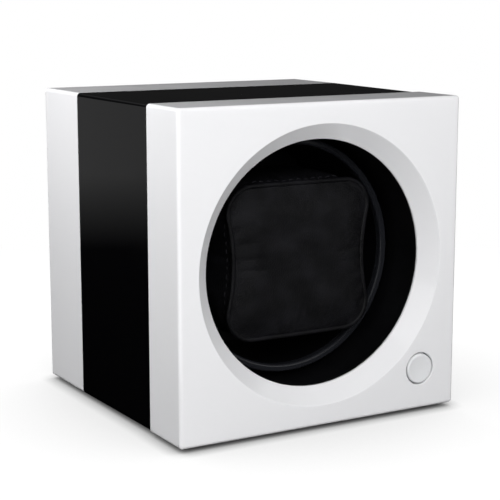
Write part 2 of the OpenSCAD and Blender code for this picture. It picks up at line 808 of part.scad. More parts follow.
// The two ears beside the guide where the button's board is screwed down
module at_button_ears() {
    translate([button_x, button_z]) rotate(45) for (out = [-ear_out, ear_out]) translate([out, 0]) children();
}

module start_button() color(white) turned(button_x, button_z) polygon([
    [0, button_face + 0.3], [button_r * 0.55, button_face + 0.24], [button_r - 0.9, button_face],
    [button_r - 0.4, button_face], [button_r, button_face + 0.4], [button_r, button_flange_front],
    [button_flange_r, button_flange_front], [button_flange_r, button_flange_back],
    [button_stem_r, button_flange_back], [button_stem_r, stem_end], [0, stem_end]]);

module button_board() color("darkgreen") slab(guide_back, guide_back + button_board_t) difference() {
    union() {
        translate([button_x, button_z]) circle(guide_out_r);
        translate([button_x, button_z]) rotate(45) square([2 * ear_out, 2 * ear_post_r], center = true);
        at_button_ears() circle(ear_post_r);
    }
    at_button_ears() circle(ear_screw_r + 0.1);
}

module button_switch() color(steel) {
    slab(guide_back - tact_h, guide_back) translate([button_x, button_z]) square(tact_w, center = true);
    bar(button_x, button_z, plunger_r, guide_back - tact_h - plunger_h, guide_back - tact_h);
}

module button_screws() color(steel)
    for (s = [-1, 1]) screw(button_x + s * ear_out * cos(45), button_z + s * ear_out * sin(45),
        ear_screw_r, ear_screw_r * 2, guide_back + button_board_t + head_h, guide_back - ear_screw_long);

// Coil spring: a round wire swept along a helix
coil_steps = 18;
coil_sides = 6;
function coil_ring(i) =
    let (t = i / coil_steps, a = 360 * t,
         low = button_flange_back + coil_wire_r, high = guide_back - coil_wire_r,
         depth = low + (high - low) * t / coil_turns)
    [for (k = [0:coil_sides - 1]) let (b = 360 * k / coil_sides, r = coil_r + coil_wire_r * cos(b))
        [button_x + r * cos(a), at(depth + coil_wire_r * sin(b)), button_z + r * sin(a)]];

module button_spring() color(steel) {
    last = coil_steps * coil_turns;
    points = [for (i = [0:last]) each coil_ring(i)];
    polyhedron(points, concat(
        [[for (k = [0:coil_sides - 1]) k]],
        [for (i = [0:last - 1], k = [0:coil_sides - 1]) let (n = (k + 1) % coil_sides)
            [i * coil_sides + k, (i + 1) * coil_sides + k, (i + 1) * coil_sides + n, i * coil_sides + n]],
        [[for (k = [coil_sides - 1:-1:0]) last * coil_sides + k]]));
}

// ---- batteries -----------------------------------------------------------

// Which way round each cell lies, bottom cell first
cell_ways = [1, -1];
function cell_z(i) = tray_z + (i - 0.5) * cell_pitch;

module battery_tray() color(black) {
    difference() {
        slab(tray_front - tray_wall, panel_front) translate([0, tray_z])
            square([tray_w + 2 * tray_wall, tray_h + 2 * tray_wall], center = true);
        slab(tray_front, panel_front + 1) translate([0, tray_z]) square([tray_w, tray_h], center = true);
    }
    slab(tray_front - tray_wall / 2, tray_front + 2.5) translate([0, tray_z])
        square([cell_long - 8, cell_pitch - 2 * cell_r - 0.1], center = true);
}

module battery_cells() color("silver")
    for (i = [0, 1]) translate([0, at(cell_depth), cell_z(i)]) rotate([0, 90 * cell_ways[i], 0]) {
        translate([0, 0, -cell_long / 2]) cylinder(r = cell_r, h = cell_long - nub_long);
        translate([0, 0, cell_long / 2 - nub_long]) cylinder(r = 2.7, h = nub_long);
    }

module battery_contacts() color(steel)
    for (i = [0, 1]) translate([0, at(cell_depth), cell_z(i)]) rotate([0, 90 * cell_ways[i], 0]) {
        translate([0, 0, tray_w / 2 - contact_t / 2]) cube([10, 9, contact_t], center = true);
        translate([0, 0, cell_long / 2]) cylinder(r = 2.5, h = contact_long - contact_t);
        translate([0, 0, -tray_w / 2 + contact_t / 2]) cube([10, 9, contact_t], center = true);
        translate([0, 0, -tray_w / 2 + contact_t]) cylinder(r1 = 4, r2 = 2.6, h = contact_long - contact_t);
    }

// Door hinged on two pins at its lower edge, with grooves for a finger below its upper edge
module battery_door() color(white) {
    width = door_w - 2 * door_fit;
    top = door_bottom + door_h - door_fit;
    difference() {
        slab(box_d - door_t, box_d) intersection() {
            translate([-width / 2, hinge_z]) square([width, top - hinge_z]);
            translate([0, tray_z]) round_rect(width, door_h - 2 * door_fit, door_corner);
        }
        for (k = [1:3]) slab(box_d - grip_deep, box_d + 1)
            translate([0, top - k * grip_pitch]) square([grip_w, grip_t], center = true);
    }
    cross_bar(-width / 2, hinge_depth, hinge_z, door_t / 2, width);
    cross_bar(-width / 2 - door_pin_long, hinge_depth, hinge_z, door_pin_r, width + 2 * door_pin_long);
}

// ---- cushion -------------------------------------------------------------

// Outline from the front: round corners and a shallow waist in each side
module cushion_outline() difference() {
    round_rect(cushion_w, cushion_h, cushion_corner);
    for (x = [-1, 1]) translate([x * (cushion_w / 2 - cushion_waist + waist_r), 0]) circle(waist_r);
}

module leg_outline() for (x = [-1, 1]) translate([x * leg_x, 0]) square([leg_w, leg_h], center = true);

module cushion_core() color(black) difference() {
    union() {
        slab(core_front, core_back) translate([0, axis_z]) round_rect(core_w, core_h, 4);
        slab(core_back - 1, magnet_back) translate([0, axis_z]) leg_outline();
    }
    for (x = [-1, 1]) bar(x * leg_x, axis_z, magnet_r, magnet_back - magnet_t, floor_front);
}

module cushion_pad() color("#202024") difference() {
    slab(pad_front, pad_back) translate([0, axis_z]) cushion_outline();
    slab(core_front, core_back) translate([0, axis_z]) round_rect(core_w, core_h, 4);
    slab(core_back - 1, pad_back + 1) translate([0, axis_z]) leg_outline();
}

module holder_magnets() color(steel)
    for (x = [-1, 1]) bar(x * leg_x, axis_z, magnet_r, magnet_back - magnet_t, magnet_back);

front_shell();
centre_sleeve();
rear_shell();
feet();
housing_screws();
well_liner();
drive_plate();
plate_screws();
rotor_cup();
rotor_rim();
rotor_shaft();
keeper_plate();
rotor_screws();
bearing_bushes();
shaft_clip();
output_gear();
idler_gear();
idler_arbor();
motor_shaft();
motor_pinion();
motor_can();
motor_gearhead();
motor_bracket();
bracket_screws();
control_board();
board_parts();
board_screws();
dc_socket();
dc_socket_pin();
program_switch();
program_knob();
direction_switch();
direction_slider();
start_button();
button_spring();
button_board();
button_switch();
button_screws();
battery_tray();
battery_cells();
battery_contacts();
battery_door();
cushion_core();
cushion_pad();
holder_magnets();
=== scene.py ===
"""Looks of a cube-shaped watch winder, built around its packed construction model.

Shapes are drawn in millimetres, in the frame of the construction model, and MM turns them into metres as they
become meshes. +Z is up, the window looks towards -Y, and a depth is counted backwards from the front face.
"""

from __future__ import annotations

import json
import logging
import math
from dataclasses import dataclass, field
from enum import Enum
from typing import Any

import bmesh
import bpy
import numpy as np
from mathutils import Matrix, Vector

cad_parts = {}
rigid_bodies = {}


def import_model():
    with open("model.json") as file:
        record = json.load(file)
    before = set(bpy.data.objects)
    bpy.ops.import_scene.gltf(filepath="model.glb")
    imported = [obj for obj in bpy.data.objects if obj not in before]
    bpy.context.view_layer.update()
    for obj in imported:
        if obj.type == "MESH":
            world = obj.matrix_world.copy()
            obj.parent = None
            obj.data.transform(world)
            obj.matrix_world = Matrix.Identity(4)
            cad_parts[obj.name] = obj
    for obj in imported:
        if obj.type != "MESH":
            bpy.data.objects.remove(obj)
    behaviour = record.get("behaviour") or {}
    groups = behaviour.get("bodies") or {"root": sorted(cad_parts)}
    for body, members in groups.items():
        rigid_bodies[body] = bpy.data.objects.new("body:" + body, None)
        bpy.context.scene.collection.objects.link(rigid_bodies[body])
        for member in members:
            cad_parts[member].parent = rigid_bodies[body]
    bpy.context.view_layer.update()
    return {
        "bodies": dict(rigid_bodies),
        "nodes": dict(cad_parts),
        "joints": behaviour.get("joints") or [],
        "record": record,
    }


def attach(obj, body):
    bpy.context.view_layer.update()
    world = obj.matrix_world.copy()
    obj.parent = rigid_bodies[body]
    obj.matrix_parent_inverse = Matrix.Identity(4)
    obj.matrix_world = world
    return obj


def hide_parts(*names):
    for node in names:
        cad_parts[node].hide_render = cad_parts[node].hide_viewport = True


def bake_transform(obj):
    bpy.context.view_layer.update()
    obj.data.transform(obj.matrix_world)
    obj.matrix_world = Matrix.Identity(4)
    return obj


Array = np.ndarray
Tree = bpy.types.NodeTree
Thing = bpy.types.Object

LOG = logging.getLogger("watch_winder")
MM = 0.001
WELD = 1e-7  # metres: points closer than this become one
NEAR = 0.01  # millimetres: closer than this counts as on a line
HARD_BEND = 35.0  # degrees: an edge of a moulded part that bends more stays sharp
SOFT_BEND = 60.0  # degrees: the same on tubes, thread and sewn covers
ALONG_Y = np.array([0.0, 1.0, 0.0])
BESIDE_Y = np.array([1.0, 0.0, 1.0])  # multiplied by this, a direction loses its part along Y


# ---- colour and nodes ---------------------------------------------------------------------------


def linear(colour: str) -> tuple[float, float, float, float]:
    """Turns an sRGB hex colour into linear light.

    Args:
        colour: six hex digits with a leading hash sign.

    Returns:
        Red, green, blue and alpha, with alpha 1.
    """
    parts = [int(colour[i : i + 2], 16) / 255 for i in (1, 3, 5)]
    red, green, blue = [c / 12.92 if c <= 0.04045 else ((c + 0.055) / 1.055) ** 2.4 for c in parts]
    return red, green, blue, 1.0


def grey(level: float) -> tuple[float, float, float, float]:
    """Gives a linear grey with alpha 1."""
    return level, level, level, 1.0


def add_node(tree: Tree, kind: str, inputs: dict | None = None, give: str | int = 0, **settings: Any) -> Any:
    """Adds a shader node, sets it, and fills or links its inputs.

    Args:
        tree: the node tree it goes into.
        kind: Blender's type name of the node, without its leading ShaderNode.
        inputs: socket name or number, and a value or the output socket that feeds it.
        give: name or number of the output that is wanted.
        **settings: attributes of the node itself.

    Returns:
        That output, or None from a node that has none.
    """
    node = tree.nodes.new("ShaderNode" + kind)
    for name, value in settings.items():
        setattr(node, name, value)
    for key, value in (inputs or {}).items():
        if isinstance(value, bpy.types.NodeSocket):
            tree.links.new(value, node.inputs[key])
        else:
            node.inputs[key].default_value = value
    return node.outputs[give] if len(node.outputs) else None


def per_metre(size_mm: float) -> float:
    """Gives the texture scale whose features are about size_mm across, on object coordinates in metres."""
    return 1.0 / (size_mm * MM)


# ---- finishes -----------------------------------------------------------------------------------


@dataclass(frozen=True)
class Finish:
    """A plain moulded or cast surface, and the base of every other finish.

    relief(), wear() and share() take the material's node tree and the socket with object coordinates, and
    each returns the socket that feeds one input of the shader.

    Attributes:
        name: the material's name.
        colour: sRGB hex of the body.
        roughness: microscopic roughness of the surface.
        ior: index of refraction, left alone on metals.
        metallic: 1 for bare metal.
        specular: strength of the reflection; 0.5 is what the index of refraction gives.
        wave_mm: spacing of the finest ripple that still shows.
        wave_depth_mm: depth of that ripple.
        haze: how much the roughness drifts over the surface, as from handling.
        haze_mm: size of the handled patches.
        second: sRGB hex of the colour that shows where share() says.
    """

    name: str
    colour: str
    roughness: float
    ior: float = 1.5
    metallic: float = 0.0
    specular: float = 0.5
    wave_mm: float = 2.0
    wave_depth_mm: float = 0.002
    haze: float = 0.03
    haze_mm: float = 14.0
    second: str = "#000000"

    def constants(self) -> dict[str, Any]:
        """Gives the values that go straight on the shader's sockets."""
        values: dict[str, Any] = {"Base Color": linear(self.colour), "Metallic": self.metallic}
        if not self.metallic:
            values |= {"IOR": self.ior, "Specular IOR Level": self.specular}
        return values

    def relief(self, tree: Tree, place: Any) -> Any:
        """Gives the normal of the surface: a soft noise ripple, as the skin of a moulding has."""
        noise = add_node(tree, "TexNoise", {"Vector": place, "Scale": per_metre(self.wave_mm), "Detail": 2.0})
        return add_node(tree, "Bump", {"Height": noise, "Distance": self.wave_depth_mm * MM})

    def wear(self, tree: Tree, place: Any) -> Any:
        """Gives the roughness: the base value, drifting in patches where hands and cloths have been."""
        patches = {"Vector": place, "Scale": per_metre(self.haze_mm), "Detail": 5.0, "Roughness": 0.6}
        noise = add_node(tree, "TexNoise", patches)
        low, high = max(self.roughness - self.haze / 2, 0.02), self.roughness + self.haze
        drift = {"Value": noise, "From Min": 0.35, "From Max": 0.7, "To Min": low, "To Max": high}
        return add_node(tree, "MapRange", drift)

    def share(self, tree: Tree, place: Any) -> Any | None:
        """Gives the share of the second colour, or None where the colour is even."""
        return None

    def build(self) -> bpy.types.Material:
        """Makes the material, whose patterns all read object coordinates."""
        material = bpy.data.materials.new(self.name)
        material.use_nodes = True
        material.diffuse_color = linear(self.colour)
        tree = material.node_tree
        tree.nodes.clear()
        place = add_node(tree, "TexCoord", give="Object")
        inputs = self.constants()
        inputs |= {"Roughness": self.wear(tree, place), "Normal": self.relief(tree, place)}
        share = self.share(tree, place)
        if share is not None:
            colours = {0: share, 6: linear(self.colour), 7: linear(self.second)}
            inputs["Base Color"] = add_node(tree, "Mix", colours, give=2, data_type="RGBA")
        add_node(tree, "OutputMaterial", {"Surface": add_node(tree, "BsdfPrincipled", inputs)})
        return material


@dataclass(frozen=True)
class Leatherette(Finish):
    """Embossed vinyl on foam: fine pebbles, drawn coarse enough to show, over soft creases.

    Attributes:
        pebble_mm: size of one pebble.
        pebble_depth_mm: height of a pebble over its furrow.
        crease_mm: spacing of the soft pull creases.
        crease_depth_mm: depth of those creases.
        second: colour where the grain's tops are worn shiny.
    """

    pebble_mm: float = 0.8
    pebble_depth_mm: float = 0.06
    crease_mm: float = 7.0
    crease_depth_mm: float = 0.25
    second: str = "#1c1c20"

    def relief(self, tree: Tree, place: Any) -> Any:
        """Gives pebbles from the distance to their furrows, over soft creases from noise."""
        cells = {"Vector": place, "Scale": per_metre(self.pebble_mm), "Randomness": 0.9}
        furrows = add_node(tree, "TexVoronoi", cells, feature="DISTANCE_TO_EDGE")
        slope = {"Value": furrows, "From Min": 0.0, "From Max": 0.22}
        pebbles = add_node(tree, "MapRange", slope, interpolation_type="SMOOTHSTEP")
        folds = {"Vector": place, "Scale": per_metre(self.crease_mm), "Detail": 3.0, "Distortion": 0.6}
        creases = add_node(tree, "TexNoise", folds)
        soft = add_node(tree, "Bump", {"Height": creases, "Distance": self.crease_depth_mm * MM})
        depth = self.pebble_depth_mm * MM
        return add_node(tree, "Bump", {"Height": pebbles, "Distance": depth, "Normal": soft})

    def share(self, tree: Tree, place: Any) -> Any:
        """Gives a faint grey bloom where the cover is rubbed, in patches."""
        noise = add_node(tree, "TexNoise", {"Vector": place, "Scale": per_metre(self.haze_mm), "Detail": 4.0})
        bloom = {"Value": noise, "From Min": 0.45, "From Max": 0.75, "To Max": 0.55}
        return add_node(tree, "MapRange", bloom)


@dataclass(frozen=True)
class SparkTexture(Finish):
    """Matt moulding from a spark-eroded tool: fine even pits that break up the highlight.

    Attributes:
        pit_mm: size of a pit, drawn as coarse as it needs to show.
        pit_depth_mm: depth of a pit.
    """

    pit_mm: float = 0.35
    pit_depth_mm: float = 0.012

    def relief(self, tree: Tree, place: Any) -> Any:
        """Gives dense pits from the distance to the nearest of many points."""
        pits = add_node(tree, "TexVoronoi", {"Vector": place, "Scale": per_metre(self.pit_mm)})
        return add_node(tree, "Bump", {"Height": pits, "Distance": self.pit_depth_mm * MM})


@dataclass(frozen=True)
class BrushedMetal(Finish):
    """Metal drawn or brushed along one axis: long hairlines that stretch the highlight.

    Attributes:
        grain: how far each axis is stretched; the lines run along the axis with the smallest value.
        line_mm: spacing of the hairlines.
    """

    grain: tuple[float, float, float] = (1.0, 0.06, 1.0)
    line_mm: float = 0.25

    def relief(self, tree: Tree, place: Any) -> Any:
        """Gives hairlines: noise squeezed across the brushing and stretched along it."""
        along = add_node(tree, "Mapping", {"Vector": place, "Scale": self.grain})
        lines = add_node(tree, "TexNoise", {"Vector": along, "Scale": per_metre(self.line_mm), "Detail": 3.0})
        return add_node(tree, "Bump", {"Height": lines, "Strength": 0.6, "Distance": self.wave_depth_mm * MM})


@dataclass(frozen=True)
class CircuitBoard(Finish):
    """Solder mask over copper: lighter tracks on a green ground.

    Attributes:
        second: colour of the mask where a track lies under it.
        track_mm: spacing of the tracks.
    """

    second: str = "#1f6a3a"
    track_mm: float = 2.2

    def share(self, tree: Tree, place: Any) -> Any:
        """Gives tracks from the edges of square-distance cells, which run straight and turn in steps."""
        tracks = {"Vector": place, "Scale": per_metre(self.track_mm), "Randomness": 0.7}
        cells = add_node(tree, "TexVoronoi", tracks, distance="CHEBYCHEV")
        return add_node(tree, "MapRange", {"Value": cells, "From Min": 0.42, "From Max": 0.48})


class Look(Enum):
    """Every finish on the object, named for what the real one is."""

    # ABS moulded in a polished tool and lacquered: deep even gloss with a faint orange peel
    WHITE_LACQUER = Finish("white_lacquered_abs", "#f0f0f2", 0.10, wave_mm=3.0, wave_depth_mm=0.0012)
    # the same in black: it shows reflections and hardly any colour
    BLACK_LACQUER = Finish(
        "black_lacquered_abs", "#050506", 0.07, wave_mm=3.0, wave_depth_mm=0.0012, haze=0.05
    )
    # button cap, sprayed a cool pale silver: softer than the shell beside it
    SILVER_LACQUER = Finish("silver_lacquered_abs", "#e9eaec", 0.22, wave_mm=0.6)
    # polystyrene with a tooled matt grain: dark, with a faint even sheen
    BLACK_MOULDING = SparkTexture(
        "black_textured_polystyrene", "#08080a", 0.42, 1.55, specular=0.3, haze=0.08
    )
    # polished dark ring that frames the rotor: a thin clear highlight
    DARK_TRIM = Finish("dark_polished_trim", "#1d1e22", 0.18, wave_mm=1.5, wave_depth_mm=0.001)
    # embossed vinyl cover of the cushion: dull, with a grain that catches light from the side
    LEATHERETTE = Leatherette(
        "black_leatherette", "#0b0b0d", 0.44, 1.48, specular=0.25, haze=0.08, haze_mm=9.0
    )
    # waxed polyester sewing thread: a little paler than the cover
    THREAD = SparkTexture("black_polyester_thread", "#1a1a1e", 0.5, pit_mm=0.2, pit_depth_mm=0.03)
    # moulded rubber feet: dead matt
    RUBBER = SparkTexture("black_rubber", "#151516", 0.7, pit_mm=0.5, pit_depth_mm=0.02)
    # zinc-plated screws, shafts and springs: cool, streaked along the turning
    STEEL = BrushedMetal("zinc_plated_steel", "#c6c8cb", 0.3, metallic=1.0, wave_depth_mm=0.004)
    # drawn and nickel-plated can of the motor: a little brighter than zinc
    MOTOR_STEEL = BrushedMetal("nickel_plated_can", "#b9babd", 0.25, metallic=1.0, wave_depth_mm=0.003)
    # turned brass: warm yellow with rings from the tool
    BRASS = BrushedMetal(
        "turned_brass", "#c9a45a", 0.28, metallic=1.0, grain=(1.0, 1.0, 0.1), wave_depth_mm=0.004
    )
    # pressed and sintered bronze: brown and porous, with no direction
    BRONZE = BrushedMetal(
        "sintered_bronze", "#a4793f", 0.45, metallic=1.0, grain=(1.0, 1.0, 1.0), line_mm=0.4
    )
    # gears cut from natural rod: milky, slightly waxy
    ACETAL = Finish("natural_acetal", "#e6e3da", 0.38, 1.48, wave_mm=0.8, wave_depth_mm=0.004)
    # solder mask over copper: glossy green with paler tracks
    BOARD = CircuitBoard("green_solder_mask", "#0c4523", 0.3)
    # shrunk plastic sleeve of a cell: smooth, with slow waves
    CELL_SLEEVE = Finish("grey_cell_sleeve", "#7c8087", 0.3, wave_mm=4.0, wave_depth_mm=0.006)
    # pad-printed ink, a hair thick: flat grey
    GREY_INK = Finish("grey_pad_print", "#5b5d61", 0.5)


class Finishes:
    """Makes each material once, when it is first asked for."""

    def __init__(self) -> None:
        """Starts with nothing made."""
        self._made: dict[Look, bpy.types.Material] = {}

    def get(self, look: Look) -> bpy.types.Material:
        """Gives the material of a look, made on its first use."""
        if look not in self._made:
            self._made[look] = look.value.build()
        return self._made[look]


SLOT_LOOKS = {
    "white_gloss": Look.WHITE_LACQUER,
    "black_gloss": Look.BLACK_LACQUER,
    "black_satin": Look.BLACK_MOULDING,
    "rim_trim": Look.DARK_TRIM,
    "leatherette": Look.LEATHERETTE,
    "rubber_foot": Look.RUBBER,
    "button_silver": Look.SILVER_LACQUER,
    "steel": Look.STEEL,
    "bronze_bush": Look.BRONZE,
    "brass": Look.BRASS,
    "acetal": Look.ACETAL,
    "board_green": Look.BOARD,
    "cell_wrap": Look.CELL_SLEEVE,
    "motor_steel": Look.MOTOR_STEEL,
}


# ---- surfaces -----------------------------------------------------------------------------------


@dataclass
class Shape:
    """Points and faces on their way to a mesh.

    Attributes:
        points: one row of x, y, z in millimetres for each point.
        faces: arrays of point numbers, one array for each number of corners.
    """

    points: Array
    faces: list[Array] = field(default_factory=list)

    @staticmethod
    def join(shapes: list[Shape]) -> Shape:
        """Puts several shapes into one, each as a shell of its own."""
        starts = np.cumsum([0] + [len(s.points) for s in shapes[:-1]])
        faces = [f + start for s, start in zip(shapes, starts) for f in s.faces]
        return Shape(np.concatenate([s.points for s in shapes]), faces)


def spots(x: Any, y: Any, z: Any) -> Array:
    """Puts x, y and z together on a new last axis; each is an array, or one number for all."""
    return np.stack(np.broadcast_arrays(x, y, z), axis=-1)


def unit(ways: Array) -> Array:
    """Gives directions of length 1, along the last axis."""
    return ways / np.linalg.norm(ways, axis=-1, keepdims=True)


def round_angles(count: int) -> Array:
    """Gives angles evenly round a circle, in radians, from 0."""
    return np.linspace(0, 2 * np.pi, count, endpoint=False)


def quarter(steps: int) -> Array:
    """Gives the angles of a quarter circle in even steps, in radians."""
    return np.linspace(0, np.pi / 2, steps + 1)


def circle(angle: Array, radius: Any, x: float, y: Any, z: float) -> Array:
    """Gives the points (x + radius cos angle, y, z + radius sin angle), round a line along Y."""
    return spots(x + radius * np.cos(angle), y, z + radius * np.sin(angle))


def quads(rows: int, cols: int, close_rows: bool = False) -> Array:
    """Joins a stack of closed rings into four-sided faces.

    Point j of ring i has the number i * cols + j. A face runs (i, j), (i, j + 1), (i + 1, j + 1), (i + 1, j),
    so it looks along (step in j) x (step in i).

    Args:
        rows: number of rings.
        cols: points in a ring.
        close_rows: joins the last ring to the first.

    Returns:
        One row of four point numbers for each face.
    """
    row = np.arange(rows if close_rows else rows - 1)[:, None]
    col = np.arange(cols)[None, :]
    next_row, next_col = (row + 1) % rows, (col + 1) % cols
    corners = [row * cols + col, row * cols + next_col, next_row * cols + next_col, next_row * cols + col]
    return np.stack(corners, axis=-1).reshape(-1, 4)


def mesh_object(
    name: str, shape: Shape, material: bpy.types.Material, bend: float = HARD_BEND, smooth: bool = True
) -> Thing:
    """Turns a shape into an object at the origin, welded, with its faces outwards.

    Args:
        name: the object's name.
        shape: points in millimetres.
        material: its finish.
        bend: edges that bend by more degrees than this stay sharp.
        smooth: shades the rest smoothly.

    Returns:
        The new object, linked to the scene.
    """
    mesh = bpy.data.meshes.new(name)
    faces = [tuple(f) for group in shape.faces for f in group.tolist()]
    mesh.from_pydata((shape.points * MM).tolist(), [], faces)
    grid = bmesh.new()
    grid.from_mesh(mesh)
    bmesh.ops.remove_doubles(grid, verts=grid.verts, dist=WELD)
    bmesh.ops.dissolve_degenerate(grid, edges=grid.edges, dist=WELD)
    bmesh.ops.recalc_face_normals(grid, faces=grid.faces)
    grid.to_mesh(mesh)
    grid.free()
    if smooth:
        mesh.shade_smooth()
        mesh.set_sharp_from_angle(angle=math.radians(bend))
    else:
        mesh.shade_flat()
    mesh.materials.append(material)
    thing = bpy.data.objects.new(name, mesh)
    bpy.context.scene.collection.objects.link(thing)
    return thing


def rounded(corners: list[tuple[float, ...]], steps: int = 5, closed: bool = False) -> Array:
    """Rounds the corners of a flat outline.

    At each round corner the two sides are cut back by the tangent length radius * tan(half the turn), and an
    arc of that radius joins the cuts.

    Args:
        corners: two coordinates of each corner, and its radius where it is round.
        steps: points on each arc, less one.
        closed: rounds the first and last corner too and leaves the outline to be closed.

    Returns:
        One row of two coordinates for each point.
    """
    places = np.array([c[:2] for c in corners], float)
    count = len(corners)
    out = []
    for i, (here, corner) in enumerate(zip(places, corners)):
        if len(corner) < 3 or (not closed and i in (0, count - 1)):
            out.append(here[None])
            continue
        radius = corner[2]
        u, v = unit(places[i - 1] - here), unit(places[(i + 1) % count] - here)
        turn = math.pi - math.acos(float(np.clip(u @ v, -1.0, 1.0)))
        centre = here + unit(u + v) * radius / math.cos(turn / 2)
        start = here + u * radius * math.tan(turn / 2) - centre
        sweep = np.linspace(0.0, turn, steps + 1)[:, None]
        side = np.array([-start[1], start[0]])
        side = -side if side @ v < 0 else side
        out.append(centre + np.cos(sweep) * start + np.sin(sweep) * side)
    return np.concatenate(out)


def turned(profile: Array, x: float, z: float, front: float, segments: int = 128) -> Shape:
    """Turns a profile about a line along Y, as a circle for each of its points.

    A point on the axis is repeated around and welded later.

    Args:
        profile: rows of radius and depth; it is closed, or it starts and ends on the axis.
        x: place of the axis.
        z: place of the axis.
        front: Y of depth 0.
        segments: points round the axis.

    Returns:
        A closed shape.
    """
    points = circle(round_angles(segments), profile[:, :1], x, front + profile[:, 1:], z)
    return Shape(points.reshape(-1, 3), [quads(len(profile), segments, close_rows=profile[0, 0] > 0)])


def swept(path: Array, radius: Any, sides: int, closed: bool = True, normal: Array | None = None) -> Shape:
    """Carries a circle along a path.

    At each point the circle stands square to the path's direction, in the frame of that direction and one
    steady normal, so it doesn't twist along a path that stays near one plane.

    Args:
        path: rows of x, y, z in millimetres.
        radius: radius of the tube, or an array of shape (points, 1, 1) with a radius for each point.
        sides: corners of the circle.
        closed: joins the path's ends; an open tube gets a flat cap on each end.
        normal: the normal, or one for each point; by default that of the plane that fits the path best.

    Returns:
        A closed tube.
    """
    ahead = np.roll(path, -1, 0) - np.roll(path, 1, 0)
    if not closed:
        ahead[0], ahead[-1] = path[1] - path[0], path[-1] - path[-2]
    ahead = unit(ahead)
    if normal is None:
        normal = np.linalg.svd(path - path.mean(0), full_matrices=False)[2][2]
    across = unit(np.cross(ahead, normal))
    up = np.cross(across, ahead)
    angle = round_angles(sides)[None, :, None]
    rings = path[:, None] + radius * (np.cos(angle) * across[:, None] + np.sin(angle) * up[:, None])
    faces = [quads(len(path), sides, close_rows=closed)]
    if not closed:
        cap = np.arange(sides)[None]
        faces += [cap[:, ::-1], (len(path) - 1) * sides + cap]
    return Shape(rings.reshape(-1, 3), faces)


def square_outline(half_x: float, half_z: float, radius: float, side: int, corner: int) -> Array:
    """Gives the outline of a rectangle with round corners, anticlockwise from the middle of its right side.

    Every outline with the same counts has its points in the same order, so two of them can be lofted.

    Args:
        half_x: half its width.
        half_z: half its height.
        radius: radius of its corners.
        side: steps along each straight side, an even number.
        corner: steps round each corner.

    Returns:
        Rows of x and z.
    """
    flat_x, flat_z = half_x - radius, half_z - radius
    along = np.linspace(-1, 1, side + 1)[1:-1]
    parts = []
    for k, (sx, sz) in enumerate([(1, 1), (-1, 1), (-1, -1), (1, -1)]):
        angle = quarter(corner) + k * np.pi / 2
        arc = (sx * flat_x + radius * np.cos(angle), sz * flat_z + radius * np.sin(angle))
        straight = (-sx * flat_x * along, sz * half_z) if k % 2 == 0 else (sx * half_x, -sz * flat_z * along)
        parts += [np.stack(np.broadcast_arrays(*line), 1) for line in (arc, straight)]
    return np.roll(np.concatenate(parts), side // 2, axis=0)


def even_loop(loop: Array, count: int) -> Array:
    """Spaces the points of a closed line evenly, by the length run along it.

    Args:
        loop: rows of coordinates, the last joined to the first.
        count: number of points wanted.

    Returns:
        The same line with count points, the first where it was.
    """
    closed = np.concatenate([loop, loop[:1]])
    run = np.concatenate([[0.0], np.cumsum(np.linalg.norm(np.diff(closed, axis=0), axis=1))])
    wanted = np.linspace(0, run[-1], count, endpoint=False)
    return np.stack([np.interp(wanted, run, column) for column in closed.T], 1)


def between(first: Array, last: Array, steps: int) -> list[Array]:
    """Gives the rings strictly between two rings with the same counts, evenly spaced."""
    return [first + (last - first) * k / steps for k in range(1, steps)]


def settle_normals(thing: Thing) -> None:
    """Keeps large flats flat beside their rounded edges, by weighting each normal by its face's area."""
    modifier = thing.modifiers.new("area_weighted_normals", "WEIGHTED_NORMAL")
    modifier.keep_sharp = True
    modifier.weight = 100


# ---- housing ------------------------------------------------------------------------------------


@dataclass
class Block:
    """Outer form that the three shells share, in millimetres.

    Attributes:
        width: size along X.
        height: size along Z, without the feet.
        depth: size along Y.
        foot: height of the feet.
        edge: radius of the outer edges.
        wall: wall of the white shells.
        front_band: depth of the front shell.
        rear_band: depth of the rear shell.
        seam: open seam beside the middle sleeve.
        lip: tiny round on the edges along a seam.
        button: x and z of the start button's axis.
    """

    width: float = 100.0
    height: float = 100.0
    depth: float = 98.0
    foot: float = 1.2
    edge: float = 1.2
    wall: float = 2.4
    front_band: float = 20.0
    rear_band: float = 27.5
    seam: float = 0.1
    lip: float = 0.18
    button: tuple[float, float] = (36.4, 14.4)

    @property
    def axis_z(self) -> float:
        """Height of the window's axis."""
        return self.foot + self.height / 2

    @property
    def front(self) -> float:
        """Y of the front face."""
        return -self.depth / 2

    def ring(self, inset: float, depth: float, side: int, corner: int) -> Array:
        """Gives the block's outline at a depth, moved inwards.

        Args:
            inset: how far inside the outer surface.
            depth: depth behind the front face.
            side: steps along a straight side.
            corner: steps round a corner.

        Returns:
            Rows of x, y and z.
        """
        radius = max(self.edge - inset, 0.0)
        flat = square_outline(self.width / 2 - inset, self.height / 2 - inset, radius, side, corner)
        return spots(flat[:, 0], self.front + depth, flat[:, 1] + self.axis_z)


@dataclass
class Part:
    """A piece, or a group of pieces, that is made anew; every part below is one.

    Attributes:
        block: the housing's outer form.
    """

    block: Block

    def build(self, finishes: Finishes) -> list[Thing]:
        """Makes the pieces, dresses them and lets each ride on its body.

        Args:
            finishes: the materials.

        Returns:
            The finished objects, each at the origin.
        """
        raise NotImplementedError


